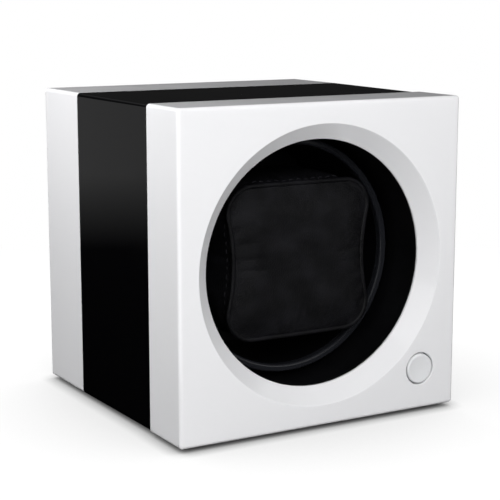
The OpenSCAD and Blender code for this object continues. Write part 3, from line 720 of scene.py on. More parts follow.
@dataclass
class FrontShell(Part):
    """White front shell: a round-edged tray whose front sinks in a cone to the window.

    Attributes:
        window: radius of the window.
        window_round: round between the cone and the window's lip.
        bevel: width of the cone, seen from the front.
        bevel_depth: depth of the cone.
        bevel_round: round between the front face and the cone.
        lip_back: depth at which the window's lip ends.
        lip_round: round of the lip's rear edge.
        seat: radius in which the well's wall stands.
        collar: outer radius of the collar round that seat.
        collar_back: depth at which the collar ends.
        steps: steps along each side of the outline and round each corner.
        spokes: steps from the outer edge to the cone.
        sector: angles between which the face is laid out round the button's hole.
        patch: steps from the sector's edge to the hole, on the front face and on the inner face.
        post: radius of the corner posts, their bore and the depth they reach.
        post_inset: how far the posts' axes lie inside the outer surface.
        guide: inner and outer radius of the button's guide, and the depth it reaches.
        hole: radius of the button's hole.
        hole_round: round of the hole's edge.
    """

    window: float = 38.4
    window_round: float = 0.35
    bevel: float = 5.1
    bevel_depth: float = 5.3
    bevel_round: float = 0.45
    lip_back: float = 6.1
    lip_round: float = 0.2
    seat: float = 41.6
    collar: float = 43.2
    collar_back: float = 10.1
    steps: tuple[int, int] = (64, 6)
    spokes: int = 6
    sector: tuple[float, float] = (-60.0, -30.0)
    patch: tuple[int, int] = (5, 3)
    post: tuple[float, float, float] = (2.6, 1.1, 14.0)
    post_inset: float = 5.1
    guide: tuple[float, float, float] = (6.05, 6.95, 12.0)
    hole: float = 5.25
    hole_round: float = 0.3

    def profile(self) -> Array:
        """Draws radius and depth from the face down the cone, round the lip and back along the collar.

        The first corner only gives the direction of the face, and is left out of the result.
        """
        mouth = self.window + self.bevel
        corners = [(mouth + 1.0, 0.0), (mouth, 0.0, self.bevel_round)]
        corners += [(self.window, self.bevel_depth, self.window_round)]
        corners += [(self.window, self.lip_back, self.lip_round), (self.seat, self.lip_back)]
        corners += [(self.seat, self.collar_back), (self.collar, self.collar_back)]
        return rounded(corners + [(self.collar, self.block.wall)])[1:]

    def rings(self) -> tuple[Array, tuple[int, int], tuple[int, int]]:
        """Works out the rings of the shell, each a loop with as many points.

        They run from the back edge forward over the outside, round the edge by a quarter circle, across the
        face from the square outline to the cone's circle in even steps, along the profile, and then across
        the inner face and back along the inner walls.

        Returns:
            The rings, and the first and last ring of the front face and of the inner face.
        """
        block = self.block
        outer = block.ring(0.0, block.edge, *self.steps)
        angle = np.arctan2(outer[:, 2] - block.axis_z, outer[:, 0])
        outside = [(block.lip, block.front_band), (0.0, block.front_band - block.lip)]
        outside += [(block.edge * (1 - math.cos(a)), block.edge * (1 - math.sin(a))) for a in quarter(6)]
        rows = [block.ring(inset, depth, *self.steps) for inset, depth in outside]
        cone = [circle(angle, r, 0.0, block.front + d, block.axis_z) for r, d in self.profile()]
        inner = block.ring(block.wall, block.wall, *self.steps)
        across = between(rows[-1], cone[0], self.spokes)
        back = between(cone[-1], inner, self.spokes)
        face = (len(rows) - 1, len(rows) + len(across))
        start = face[1] + len(cone)
        rows += across + cone + back + [inner, block.ring(block.wall, block.front_band, *self.steps)]
        return np.array(rows), face, (start - 1, start + len(back))

    def hole_rows(self, angle: Array) -> list[Array]:
        """Gives the rings down the button's hole: a quarter round, then the straight wall.

        Args:
            angle: the angles of a ring's points, about the button's axis.

        Returns:
            One ring for each depth.
        """
        turn = quarter(4)
        radii = [*(self.hole + self.hole_round * (1 - np.sin(turn))), self.hole]
        depths = [*(self.hole_round * (1 - np.cos(turn))), self.block.wall]
        x, z = self.block.button
        return [circle(angle, r, x, self.block.front + d, z) for r, d in zip(radii, depths)]

    def shape(self) -> Shape:
        """Joins the rings, and lays a sector of both faces out round the button's hole.

        The loop round the sector follows the first ring, one spoke, the last ring and the other spoke. Each
        of its points is carried in even steps to the point of the hole that lies the same way from the
        button's axis, down the hole, and out again to the same loop on the inner face.
        """
        rows, face, inner = self.rings()
        count, cols = rows.shape[:2]
        numbers = np.arange(count * cols).reshape(count, cols)
        angle = np.degrees(np.arctan2(rows[1, :, 2] - self.block.axis_z, rows[1, :, 0]))
        low, high = [int(np.argmin(np.abs(angle - a))) for a in self.sector]

        def loop(first: int, last: int) -> Array:
            """Gives the point numbers round the sector between two rings, starting on the first."""
            way = 1 if last > first else -1
            spoke = np.arange(first, last, way)
            there, home = numbers[last, low + 1 : high + 1][::-1], numbers[(spoke + way)[::-1], low]
            return np.concatenate([numbers[first, low:high], numbers[spoke, high], there, home])

        points = rows.reshape(-1, 3)
        outer_loop, inner_loop = loop(*face), loop(inner[1], inner[0])
        x, z = self.block.button
        down = self.hole_rows(np.arctan2(points[outer_loop, 2] - z, points[outer_loop, 0] - x))
        front_steps, back_steps = self.patch
        patch = between(points[outer_loop], down[0], front_steps) + down
        patch += between(down[-1], points[inner_loop], back_steps)
        fresh = len(points) + np.arange(len(patch) * len(outer_loop)).reshape(len(patch), -1)
        ids = np.concatenate([outer_loop[None], fresh, inner_loop[None]])
        patch_faces = ids.ravel()[quads(len(ids), len(outer_loop))]
        keep = np.ones((count, cols), bool)
        keep[face[0] : face[1], low:high] = False
        keep[inner[0] : inner[1], low:high] = False
        shell_faces = quads(count, cols, close_rows=True)[keep.ravel()]
        return Shape(np.concatenate([points, *patch]), [shell_faces, patch_faces])

    def tube(self, size: tuple[float, float, float], x: float, z: float, segments: int) -> Shape:
        """Makes a tube that stands on the inner face.

        Args:
            size: its two radii and the depth it reaches.
            x: place of its axis.
            z: place of its axis.
            segments: points round the axis.

        Returns:
            A closed shape.
        """
        one, other, end = size
        wall = [(one, self.block.wall), (other, self.block.wall), (other, end), (one, end)]
        return turned(np.array(wall), x, z, self.block.front, segments)

    def posts(self) -> list[Shape]:
        """Makes the four screw posts and the button's guide."""
        radius, bore, back = self.post
        out, up = self.block.width / 2 - self.post_inset, self.block.axis_z
        size = (bore, radius, back)
        tubes = [self.tube(size, x * out, up + z * out, 32) for x in (-1, 1) for z in (-1, 1)]
        return tubes + [self.tube(self.guide, *self.block.button, 48)]

    def build(self, finishes: Finishes) -> list[Thing]:
        """Makes the shell in white lacquer."""
        shape = Shape.join([self.shape()] + self.posts())
        thing = mesh_object("front_shell_lacquered", shape, finishes.get(Look.WHITE_LACQUER))
        settle_normals(thing)
        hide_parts("front_shell")
        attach(thing, "housing")
        return [thing]


@dataclass
class Sleeve(Part):
    """Black middle sleeve, with a tongue that enters each white shell.

    Attributes:
        tongue: insets of the tongue's outside and inside.
        reach: how far a tongue runs either side of the sleeve's end.
        inside: inset of the sleeve's inner wall.
    """

    tongue: tuple[float, float] = (2.55, 3.75)
    reach: float = 3.0
    inside: float = 3.0

    def shape(self) -> Shape:
        """Carries the sleeve's wall, drawn as inset and depth, round the block's outline."""
        block, reach = self.block, self.reach
        front = block.front_band + block.seam
        back = block.depth - block.rear_band - block.seam
        out, into = self.tongue
        wall = [(0.0, front, block.lip), (0.0, back, block.lip), (out, back), (out, back + reach)]
        wall += [(into, back + reach), (into, back - reach), (self.inside, back - reach)]
        wall += [(self.inside, front + reach), (into, front + reach), (into, front - reach)]
        wall += [(out, front - reach), (out, front)]
        line = rounded(wall, steps=3, closed=True)
        rows = np.array([block.ring(inset, depth, side=4, corner=8) for inset, depth in line])
        return Shape(rows.reshape(-1, 3), [quads(*rows.shape[:2], close_rows=True)])

    def build(self, finishes: Finishes) -> list[Thing]:
        """Makes the sleeve in black lacquer."""
        thing = mesh_object("centre_sleeve_lacquered", self.shape(), finishes.get(Look.BLACK_LACQUER))
        settle_normals(thing)
        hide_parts("centre_sleeve")
        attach(thing, "housing")
        return [thing]


@dataclass
class StartButton(Part):
    """Push button in the lower right corner, dished a little for a fingertip.

    Attributes:
        radius: radius of the cap.
        face: depth of the cap's rim; below zero it stands proud of the front face.
        dish: how much deeper the middle is.
        rim: width of the flat round the dish, with the round edge.
        edge: round of the cap's edge.
        flange: radius and the two depths of the flange that keeps it in.
        stem: radius of the stem and the depth it reaches.
    """

    radius: float = 4.8
    face: float = -0.2
    dish: float = 0.4
    rim: float = 0.9
    edge: float = 0.5
    flange: tuple[float, float, float] = (5.85, 2.5, 4.0)
    stem: tuple[float, float] = (1.5, 6.7)

    def profile(self) -> Array:
        """Draws the half section: a shallow parabola for the dish, a round edge, the flange and the stem."""
        inner = self.radius - self.rim
        r = np.linspace(0, inner, num=9)
        dish = np.stack([r, self.face + self.dish * (1 - (r / inner) ** 2)], 1)
        wide, near, far = self.flange
        stem, end = self.stem
        rest = [(inner, self.face), (self.radius, self.face, self.edge), (self.radius, near), (wide, near)]
        rest += [(wide, far), (stem, far), (stem, end), (0.0, end)]
        return np.concatenate([dish, rounded(rest)[1:]])

    def build(self, finishes: Finishes) -> list[Thing]:
        """Makes the button and lets it ride on its own body."""
        shape = turned(self.profile(), *self.block.button, self.block.front, segments=96)
        thing = mesh_object("start_button_cap", shape, finishes.get(Look.SILVER_LACQUER))
        settle_normals(thing)
        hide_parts("start_button")
        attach(thing, "button")
        return [thing]


@dataclass
class ButtonSpring(Part):
    """Coil spring under the start button, which shortens as the button goes in.

    Attributes:
        radius: radius of the coil's middle line.
        wire: radius of the wire.
        turns: number of turns.
        near: depth of the flange it pushes on.
        far: depth of the board it stands on.
        close: how much closer the end turns lie; 0 is even, 1 is touching.
        steps: steps in one turn.
    """

    radius: float = 4.65
    wire: float = 0.3
    turns: int = 5
    near: float = 4.0
    far: float = 12.0
    close: float = 0.55
    steps: int = 36

    def build(self, finishes: Finishes) -> list[Thing]:
        """Sweeps the wire.

        With t from 0 to 1 along the wire, the angle grows as t, and the depth as t - close * sin(2 pi t) /
        (2 pi), so that the end turns lie closer.
        """
        x, z = self.block.button
        t = np.linspace(0, 1, self.turns * self.steps + 1)
        run = t - self.close * np.sin(2 * np.pi * t) / (2 * np.pi)
        depth = self.near + self.wire + (self.far - self.near - 2 * self.wire) * run
        path = circle(2 * np.pi * self.turns * t, self.radius, x, self.block.front + depth, z)
        shape = swept(path, self.wire, sides=10, closed=False, normal=ALONG_Y)
        thing = mesh_object("button_spring_coil", shape, finishes.get(Look.STEEL), SOFT_BEND)
        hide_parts("button_spring")
        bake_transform(thing)
        return [thing]


@dataclass
class PanelPrint(Part):
    """Marks on the floor of the rear pocket, printed a little raised.

    Numerals stand round the knob, arrows beside the direction switch, and the poles over the socket. Places
    are in millimetres to the right and up from the pocket's middle, seen from behind.

    Attributes:
        floor: depth of the pocket's floor.
        rise: height of the pocket's middle over the window's axis.
        knob: place of the knob's axis.
        dial: radius of the circle of numerals.
        socket: place of the socket's axis.
        pole: how far the poles stand from the socket's sign.
        ring: radius of the rings in that sign.
        row: height of the marks over the switch and the socket.
        beside: how far the arrows stand from the switch.
        line: half the width of a line.
        flat: height of a line as a share of half its width.
    """

    floor: float = 93.5
    rise: float = 24.0
    knob: float = -26.0
    dial: float = 8.4
    socket: float = 26.0
    pole: float = 3.1
    ring: float = 0.8
    row: float = 6.4
    beside: float = 7.0
    line: float = 0.15
    flat: float = 0.35

    def arc(self, x: float, y: float, radius: float, first: float, last: float) -> Array:
        """Draws part of a circle between two angles in degrees."""
        angle = np.radians(np.linspace(first, last, 17))
        return np.stack([x + radius * np.cos(angle), y + radius * np.sin(angle)], 1)

    def numerals(self) -> list[Array]:
        """Draws 1 to 4 round the knob, from its left stop to its right one."""
        one = [np.array([(-0.35, 0.45), (0.05, 0.85), (0.05, -0.85)])]
        two = [np.concatenate([self.arc(0.0, 0.37, 0.48, 170, -40), [(-0.5, -0.85), (0.5, -0.85)]])]
        three = [np.concatenate([self.arc(0.0, 0.43, 0.42, 150, -90), self.arc(0.0, -0.42, 0.43, 90, -150)])]
        four = [np.array([(0.25, -0.85), (0.25, 0.85), (-0.5, -0.35), (0.55, -0.35)])]
        lines = []
        for angle, glyph in zip(np.radians([-90, -30, 30, 90]), (one, two, three, four)):
            place = np.array([self.knob + self.dial * np.sin(angle), self.dial * np.cos(angle)])
            lines += [stroke + place for stroke in glyph]
        return lines

    def arrows(self) -> list[Array]:
        """Draws a turning arrow on each side of the switch and a two-way arrow over it."""
        turn = self.arc(-self.beside, 0.0, 1.1, 60, 330)
        tip = turn[-1]
        head = np.array([tip + (-0.75, 0.1), tip, tip + (0.3, -0.7)])
        both = np.array([(-1.4, self.row), (1.4, self.row)])
        point = np.array([(-0.9, self.row + 0.5), (-1.4, self.row), (-0.9, self.row - 0.5)])
        mirror = np.array([-1.0, 1.0])
        return [both] + [line * way for line in (turn, head, point) for way in (1.0, mirror)]

    def poles(self) -> list[Array]:
        """Draws the sign of a socket with its pin at plus: minus, ring and pin, plus."""
        x, y, side, ring = self.socket, self.row, self.pole, self.ring
        lines = [self.arc(x + way * side, y, ring, 0, 360) for way in (-1, 1)]
        lines += [self.arc(x, y, ring, -135, 135), self.arc(x, y, self.line, 0, 360)]
        flat = [(x - side + ring, x - 1.1), (x + 0.3, x + side - ring)]
        flat += [(x + way * side - 0.4, x + way * side + 0.4) for way in (-1, 1)]
        lines += [np.array([(first, y), (last, y)]) for first, last in flat]
        return lines + [np.array([(x + side, y - 0.4), (x + side, y + 0.4)])]

    def build(self, finishes: Finishes) -> list[Thing]:
        """Sweeps a thin flat tube along every line, half sunk into the floor."""
        tubes = []
        for line in self.numerals() + self.arrows() + self.poles():
            path = spots(-line[:, 0], 0.0, line[:, 1])
            shut = bool(np.allclose(path[0], path[-1]))
            path = path[:-1] if shut else path
            tubes.append(swept(path, self.line, sides=8, closed=shut, normal=ALONG_Y))
        shape = Shape.join(tubes)
        shape.points[:, 1] *= self.flat
        shape.points += np.array([0.0, self.block.front + self.floor, self.block.axis_z + self.rise])
        thing = mesh_object("rear_panel_print", shape, finishes.get(Look.GREY_INK), SOFT_BEND)
        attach(thing, "housing")
        return [thing]


@dataclass
class RotorRim(Part):
    """Polished ring on the front of the rotor cup.

    Attributes:
        inner: inner radius.
        outer: outer radius.
        crest: round on both sides of the crest.
        front: depth of the crest.
        seat: depth of the cup's edge under it.
        skirt: depth at which the skirt round the cup ends.
        skirt_round: round of the skirt's edge.
        cup: outer radius of the cup.
    """

    inner: float = 35.2
    outer: float = 37.6
    crest: float = 0.8
    front: float = 21.0
    seat: float = 23.5
    skirt: float = 25.0
    skirt_round: float = 0.2
    cup: float = 36.8

    def build(self, finishes: Finishes) -> list[Thing]:
        """Turns the ring's section, whose crest is rounded on both sides."""
        section = [(self.inner, self.seat), (self.inner, self.front, self.crest)]
        section += [(self.outer, self.front, self.crest), (self.outer, self.skirt, self.skirt_round)]
        section += [(self.cup, self.skirt), (self.cup, self.seat)]
        section = rounded(section, steps=6, closed=True)
        shape = turned(section, 0.0, self.block.axis_z, self.block.front, segments=192)
        thing = mesh_object("rotor_rim_polished", shape, finishes.get(Look.DARK_TRIM))
        settle_normals(thing)
        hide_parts("rotor_rim")
        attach(thing, "rotor")
        return [thing]


# ---- cushion ------------------------------------------------------------------------------------

# cloth of the cover: stiff against stretch, soft in bending, blown up by the stuffing's pressure
CLOTH = {
    "quality": 6,
    "mass": 0.3,
    "tension_stiffness": 12,
    "compression_stiffness": 12,
    "shear_stiffness": 6,
    "bending_stiffness": 1.2,
    "vertex_group_mass": "seams",
    "use_pressure": True,
    "uniform_pressure_force": 4.0,
    "shrink_min": -0.02,
}
CLOTH_FRAMES = 20


@dataclass
class Cushion(Part):
    """Watch cushion: a stuffed leatherette box with a crowned front, piped seams and topstitching.

    Attributes:
        width: width between the sides, seen from the front.
        height: height.
        corner: radius of the corners, seen from the front.
        waist: depth of the waist in each side.
        front: depth of the foremost point that the stuffing may reach.
        back: depth of the back.
        seam_in: how far the seams lie inside that outline.
        seam_front: how far the front seam lies behind the foremost point.
        seam_back: how far the rear seam lies before the back.
        round_points: points round the outline.
        panel_rings: rings from the middle of a panel to its seam.
        strip_rings: rings across the boxing strip.
        blow: scale at which the cloth is simulated, because cloth needs a larger piece.
        cap: how far the stuffing may move a point.
        pucker: depth and spacing of the small gathers along a seam.
        gathered: how many rings beside a seam the gathers reach.
        fade: rings over which they fall to a third.
        piping: radius of the piping, and how far its middle stands out of the seam.
        stitch: length, pitch and thread radius of a stitch.
        fine: points on the line that the stitches follow.
        stitch_row: distance of the stitches from the seam.
        legs: place, width and height of the slots for the legs.
        welt: radius of the welt, its middle's distance from the slot and from the back, and its corner.
    """

    width: float = 52.97
    height: float = 50.0
    corner: float = 9.0
    waist: float = 2.0
    front: float = 12.0
    back: float = 50.0
    seam_in: float = 1.3
    seam_front: float = 3.2
    seam_back: float = 1.4
    round_points: int = 176
    panel_rings: int = 16
    strip_rings: int = 22
    blow: float = 10.0
    cap: float = 2.6
    pucker: tuple[float, float] = (0.22, 4.6)
    gathered: int = 7
    fade: float = 2.5
    piping: tuple[float, float] = (0.75, 0.3)
    stitch: tuple[float, float, float] = (1.9, 2.7, 0.2)
    fine: int = 1440
    stitch_row: float = 2.4
    legs: tuple[float, float, float] = (17.85, 6.5, 14.0)
    welt: tuple[float, float, float, float] = (0.7, 0.5, 0.2, 1.2)

    def outline(self, inset: float) -> Array:
        """Gives the outline seen from the front, evenly spaced, moved inwards by inset.

        It is a rectangle with round corners. The sides pull in by waist * (1 - (z / straight)^2) between the
        corners, where straight is half the straight stretch.

        Args:
            inset: how far inside the widest outline.

        Returns:
            Rows of x and z.
        """
        half_x, half_z = self.width / 2 - inset, self.height / 2 - inset
        loop = square_outline(half_x, half_z, self.corner - inset / 2, side=24, corner=12)
        pull = self.waist * np.clip(1 - (loop[:, 1] / (half_z - self.corner)) ** 2, 0, None)
        loop[:, 0] -= np.sign(loop[:, 0]) * pull * (np.abs(loop[:, 0]) > half_x - NEAR)
        return even_loop(loop, self.round_points)

    def cover(self) -> tuple[Shape, Array]:
        """Lays out the cover: front panel, boxing strip and back panel, as rings from pole to pole.

        A panel's ring is the seam's outline shrunk towards the middle by sin(t * 90 degrees), so the rings
        crowd at the seam. The strip's rings run straight back from seam to seam.

        Returns:
            The shape, and the numbers of the two rings that are seams.
        """
        edge = self.outline(self.seam_in)
        share = np.sin(np.linspace(0, 1, self.panel_rings + 1) * np.pi / 2)
        scale = np.concatenate([share, np.ones(self.strip_rings - 1), share[::-1]])[:, None]
        near, far = self.front + self.seam_front, self.back - self.seam_back
        strip = np.linspace(near, far, self.strip_rings + 1)[1:-1]
        depth = np.concatenate([0 * share + near, strip, 0 * share + far])[:, None]
        rows = spots(scale * edge[:, 0], self.block.front + depth, scale * edge[:, 1] + self.block.axis_z)
        points = np.concatenate([rows[0, :1], rows[1:-1].reshape(-1, 3), rows[-1, :1]])
        here = np.arange(self.round_points)
        following = (here + 1) % self.round_points
        last = len(points) - 1
        base = last - self.round_points
        fans = [spots(0, 1 + following, 1 + here), spots(last, base + here, base + following)]
        seams = np.array([self.panel_rings, self.panel_rings + self.strip_rings]) - 1
        return Shape(points, [quads(len(rows) - 2, self.round_points) + 1, *fans]), seams

    def ring(self, points: Array, number: int) -> Array:
        """Picks one ring of the cover out of its points."""
        start = 1 + int(number) * self.round_points
        return points[start : start + self.round_points]

    def inflate(self, shape: Shape, seams: Array) -> Array:
        """Fills the cover by a cloth simulation under pressure, with its two seams held.

        The cover is enlarged by blow, simulated without gravity, and shrunk again. The cloth is a little
        larger than its pattern, so it gathers as sewn leatherette does. No point moves further than cap.

        Args:
            shape: the flat-panelled cover.
            seams: numbers of the rings that the seams hold.

        Returns:
            The points of the filled cover.
        """
        centre = shape.points.mean(0)
        big = Shape((shape.points - centre) * self.blow, shape.faces)
        thing = mesh_object("cushion_filling_work", big, bpy.data.materials.new("work"), smooth=False)
        if len(thing.data.vertices) != len(shape.points):
            raise RuntimeError("the cushion's cover lost points before its simulation")
        numbers = np.arange(len(shape.points))
        held = np.concatenate([self.ring(numbers, s) for s in seams])
        thing.vertex_groups.new(name="seams").add(held.tolist(), 1.0, "REPLACE")
        cloth = thing.modifiers.new("cloth", "CLOTH")
        for name, value in CLOTH.items():
            setattr(cloth.settings, name, value)
        cloth.settings.effector_weights.gravity = 0.0
        cloth.collision_settings.use_collision = False
        cloth.point_cache.frame_start, cloth.point_cache.frame_end = 1, CLOTH_FRAMES
        scene = bpy.context.scene
        for frame in range(1, CLOTH_FRAMES + 1):
            scene.frame_set(frame)
        filled = thing.evaluated_get(bpy.context.evaluated_depsgraph_get()).data
        flat = np.empty(len(filled.vertices) * 3)
        filled.vertices.foreach_get("co", flat)
        scene.frame_set(1)
        work = thing.data
        bpy.data.objects.remove(thing)
        bpy.data.meshes.remove(work)
        step = flat.reshape(-1, 3) / MM / self.blow + centre - shape.points
        length = np.linalg.norm(step, axis=1, keepdims=True)
        return shape.points + step * np.minimum(1.0, self.cap / np.maximum(length, 1e-9))

    def gather(self, points: Array, seams: Array) -> Array:
        """Adds the small gathers along the seams.

        A ring that lies k rings from a seam moves along the way out of the cushion by depth * exp(-k / fade)
        * (wave - 1), where wave is a sine of the place round the outline, whose phase and height wander.

        Args:
            points: the cover's points.
            seams: numbers of the rings that are seams.

        Returns:
            The moved points.
        """
        out = points.copy()
        depth, pitch = self.pucker
        turn = round_angles(self.round_points)
        wander = 1.3 * np.sin(3 * turn + 0.4) + 0.9 * np.sin(7 * turn + 2.0)
        wave = 0.5 * (np.sin(2 * (self.height + self.width) / pitch * turn + 2.2 * wander) - 1)
        wave *= 0.65 + 0.35 * np.sin(5 * turn + 1.0)
        centre = np.array([0.0, self.block.front + (self.front + self.back) / 2, self.block.axis_z])
        for seam, side in zip(seams, (-1, 1)):
            for k in [k for k in range(-self.gathered, self.gathered + 1) if k]:
                ring = self.ring(out, seam + k)
                on_panel = k * side > 0
                way = side * ALONG_Y if on_panel else unit((ring - centre) * BESIDE_Y)
                ring += depth * math.exp(-abs(k) / self.fade) * wave[:, None] * way
        return out

    def stitches(self, ring: Array, beside: Array) -> Shape:
        """Lays a row of stitches on the cover, parallel to a seam.

        Args:
            ring: points of the cover along the row.
            beside: the way out of the cover at each of those points.

        Returns:
            One spindle for each stitch: a tube whose radius follows the root of a cosine, so both ends dive.
        """
        length, pitch, thread = self.stitch
        path = even_loop(ring, self.fine)
        out = unit(even_loop(ring + beside, self.fine) - path)
        around = np.linalg.norm(np.roll(path, -1, 0) - path, axis=1).sum()
        count = int(around // pitch)
        share = np.linspace(-0.5, 0.5, num=7)
        place = ((np.arange(count) + 0.5) / count)[:, None] + share * length / around
        index = (place % 1.0 * self.fine).astype(int) % self.fine
        swell = np.cos(share * np.pi)[:, None]
        radius = thread * np.sqrt(np.clip(swell, 0.02, None))[:, None]
        # the middle of a stitch stands over the cover, and its ends dive under it
        lines = path[index] + out[index] * thread * (0.9 * swell - 0.35)
        tubes = [swept(line, radius, 6, closed=False, normal=way) for line, way in zip(lines, out[index])]
        return Shape.join(tubes)

    def welts(self) -> Shape:
        """Makes the two welts that edge the slots for the legs in the back panel."""
        out, wide, high = self.legs
        radius, apart, proud, corner = self.welt
        outline = square_outline(wide / 2 + apart, high / 2 + apart, corner, side=4, corner=6)
        loop = even_loop(outline, 64)
        path = spots(loop[:, 0], self.block.front + self.back + proud, loop[:, 1] + self.block.axis_z)
        return Shape.join([swept(path + [x, 0.0, 0.0], radius, sides=10) for x in (-out, out)])

    def build(self, finishes: Finishes) -> list[Thing]:
        """Makes the cover, its piping, stitches and welts, and puts them in place of the plain pad."""
        shape, seams = self.cover()
        points = self.gather(self.inflate(shape, seams), seams)
        leather = finishes.get(Look.LEATHERETTE)
        cover = mesh_object("cushion_cover_leatherette", Shape(points, shape.faces), leather, SOFT_BEND)
        subdivision = cover.modifiers.new("soft_surface", "SUBSURF")
        subdivision.levels = subdivision.render_levels = 1
        centre = np.array([0.0, 0.0, self.block.axis_z])
        strip = (self.back - self.seam_back - self.front - self.seam_front) / self.strip_rings
        step = max(1, round(self.stitch_row / strip))
        radius, stand = self.piping
        pipes, rows = [], []
        for seam, way in zip(seams, (1, -1)):
            line, ring = self.ring(points, seam), self.ring(points, seam + way * step)
            pipes.append(swept(line + stand * unit((line - centre) * BESIDE_Y), radius, sides=10))
            rows.append(self.stitches(ring, unit((ring - centre) * BESIDE_Y)))
        piping = mesh_object("cushion_piping", Shape.join(pipes), leather, SOFT_BEND)
        thread = mesh_object("cushion_topstitching", Shape.join(rows), finishes.get(Look.THREAD), SOFT_BEND)
        welt = mesh_object("cushion_leg_welts", self.welts(), leather, SOFT_BEND)
        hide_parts("cushion_pad")
        pieces = [cover, piping, thread, welt]
        for piece in pieces:
            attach(piece, "cushion")
        return pieces


# ---- studio -------------------------------------------------------------------------------------


@dataclass
class Lamp:
    """A soft rectangular lamp.

    Attributes:
        name: its name.
        place: where it hangs, in metres.
        size: width and height, in metres.
        power: watts.
        aim: the point it looks at, in metres.
        glossy: whether reflections show it.
        diffuse: whether it lights matt surfaces.
    """

    name: str
    place: tuple[float, float, float]
    size: tuple[float, float]
    power: float
    aim: tuple[float, float, float] = (0.0, 0.0, 0.06)
    glossy: bool = True
    diffuse: bool = True

    def build(self) -> None:
        """Hangs the lamp, unseen by the camera."""
        data = bpy.data.lights.new(self.name, "AREA")
        data.shape = "RECTANGLE"
        data.size, data.size_y = self.size
        data.energy = self.power
        lamp = bpy.data.objects.new(self.name, data)
        lamp.location = self.place
        way = Vector(self.aim) - Vector(self.place)
        lamp.rotation_euler = way.to_track_quat("-Z", "Y").to_euler()
        lamp.visible_camera = False
        lamp.visible_glossy = self.glossy
        lamp.visible_diffuse = self.diffuse
        bpy.context.scene.collection.objects.link(lamp)


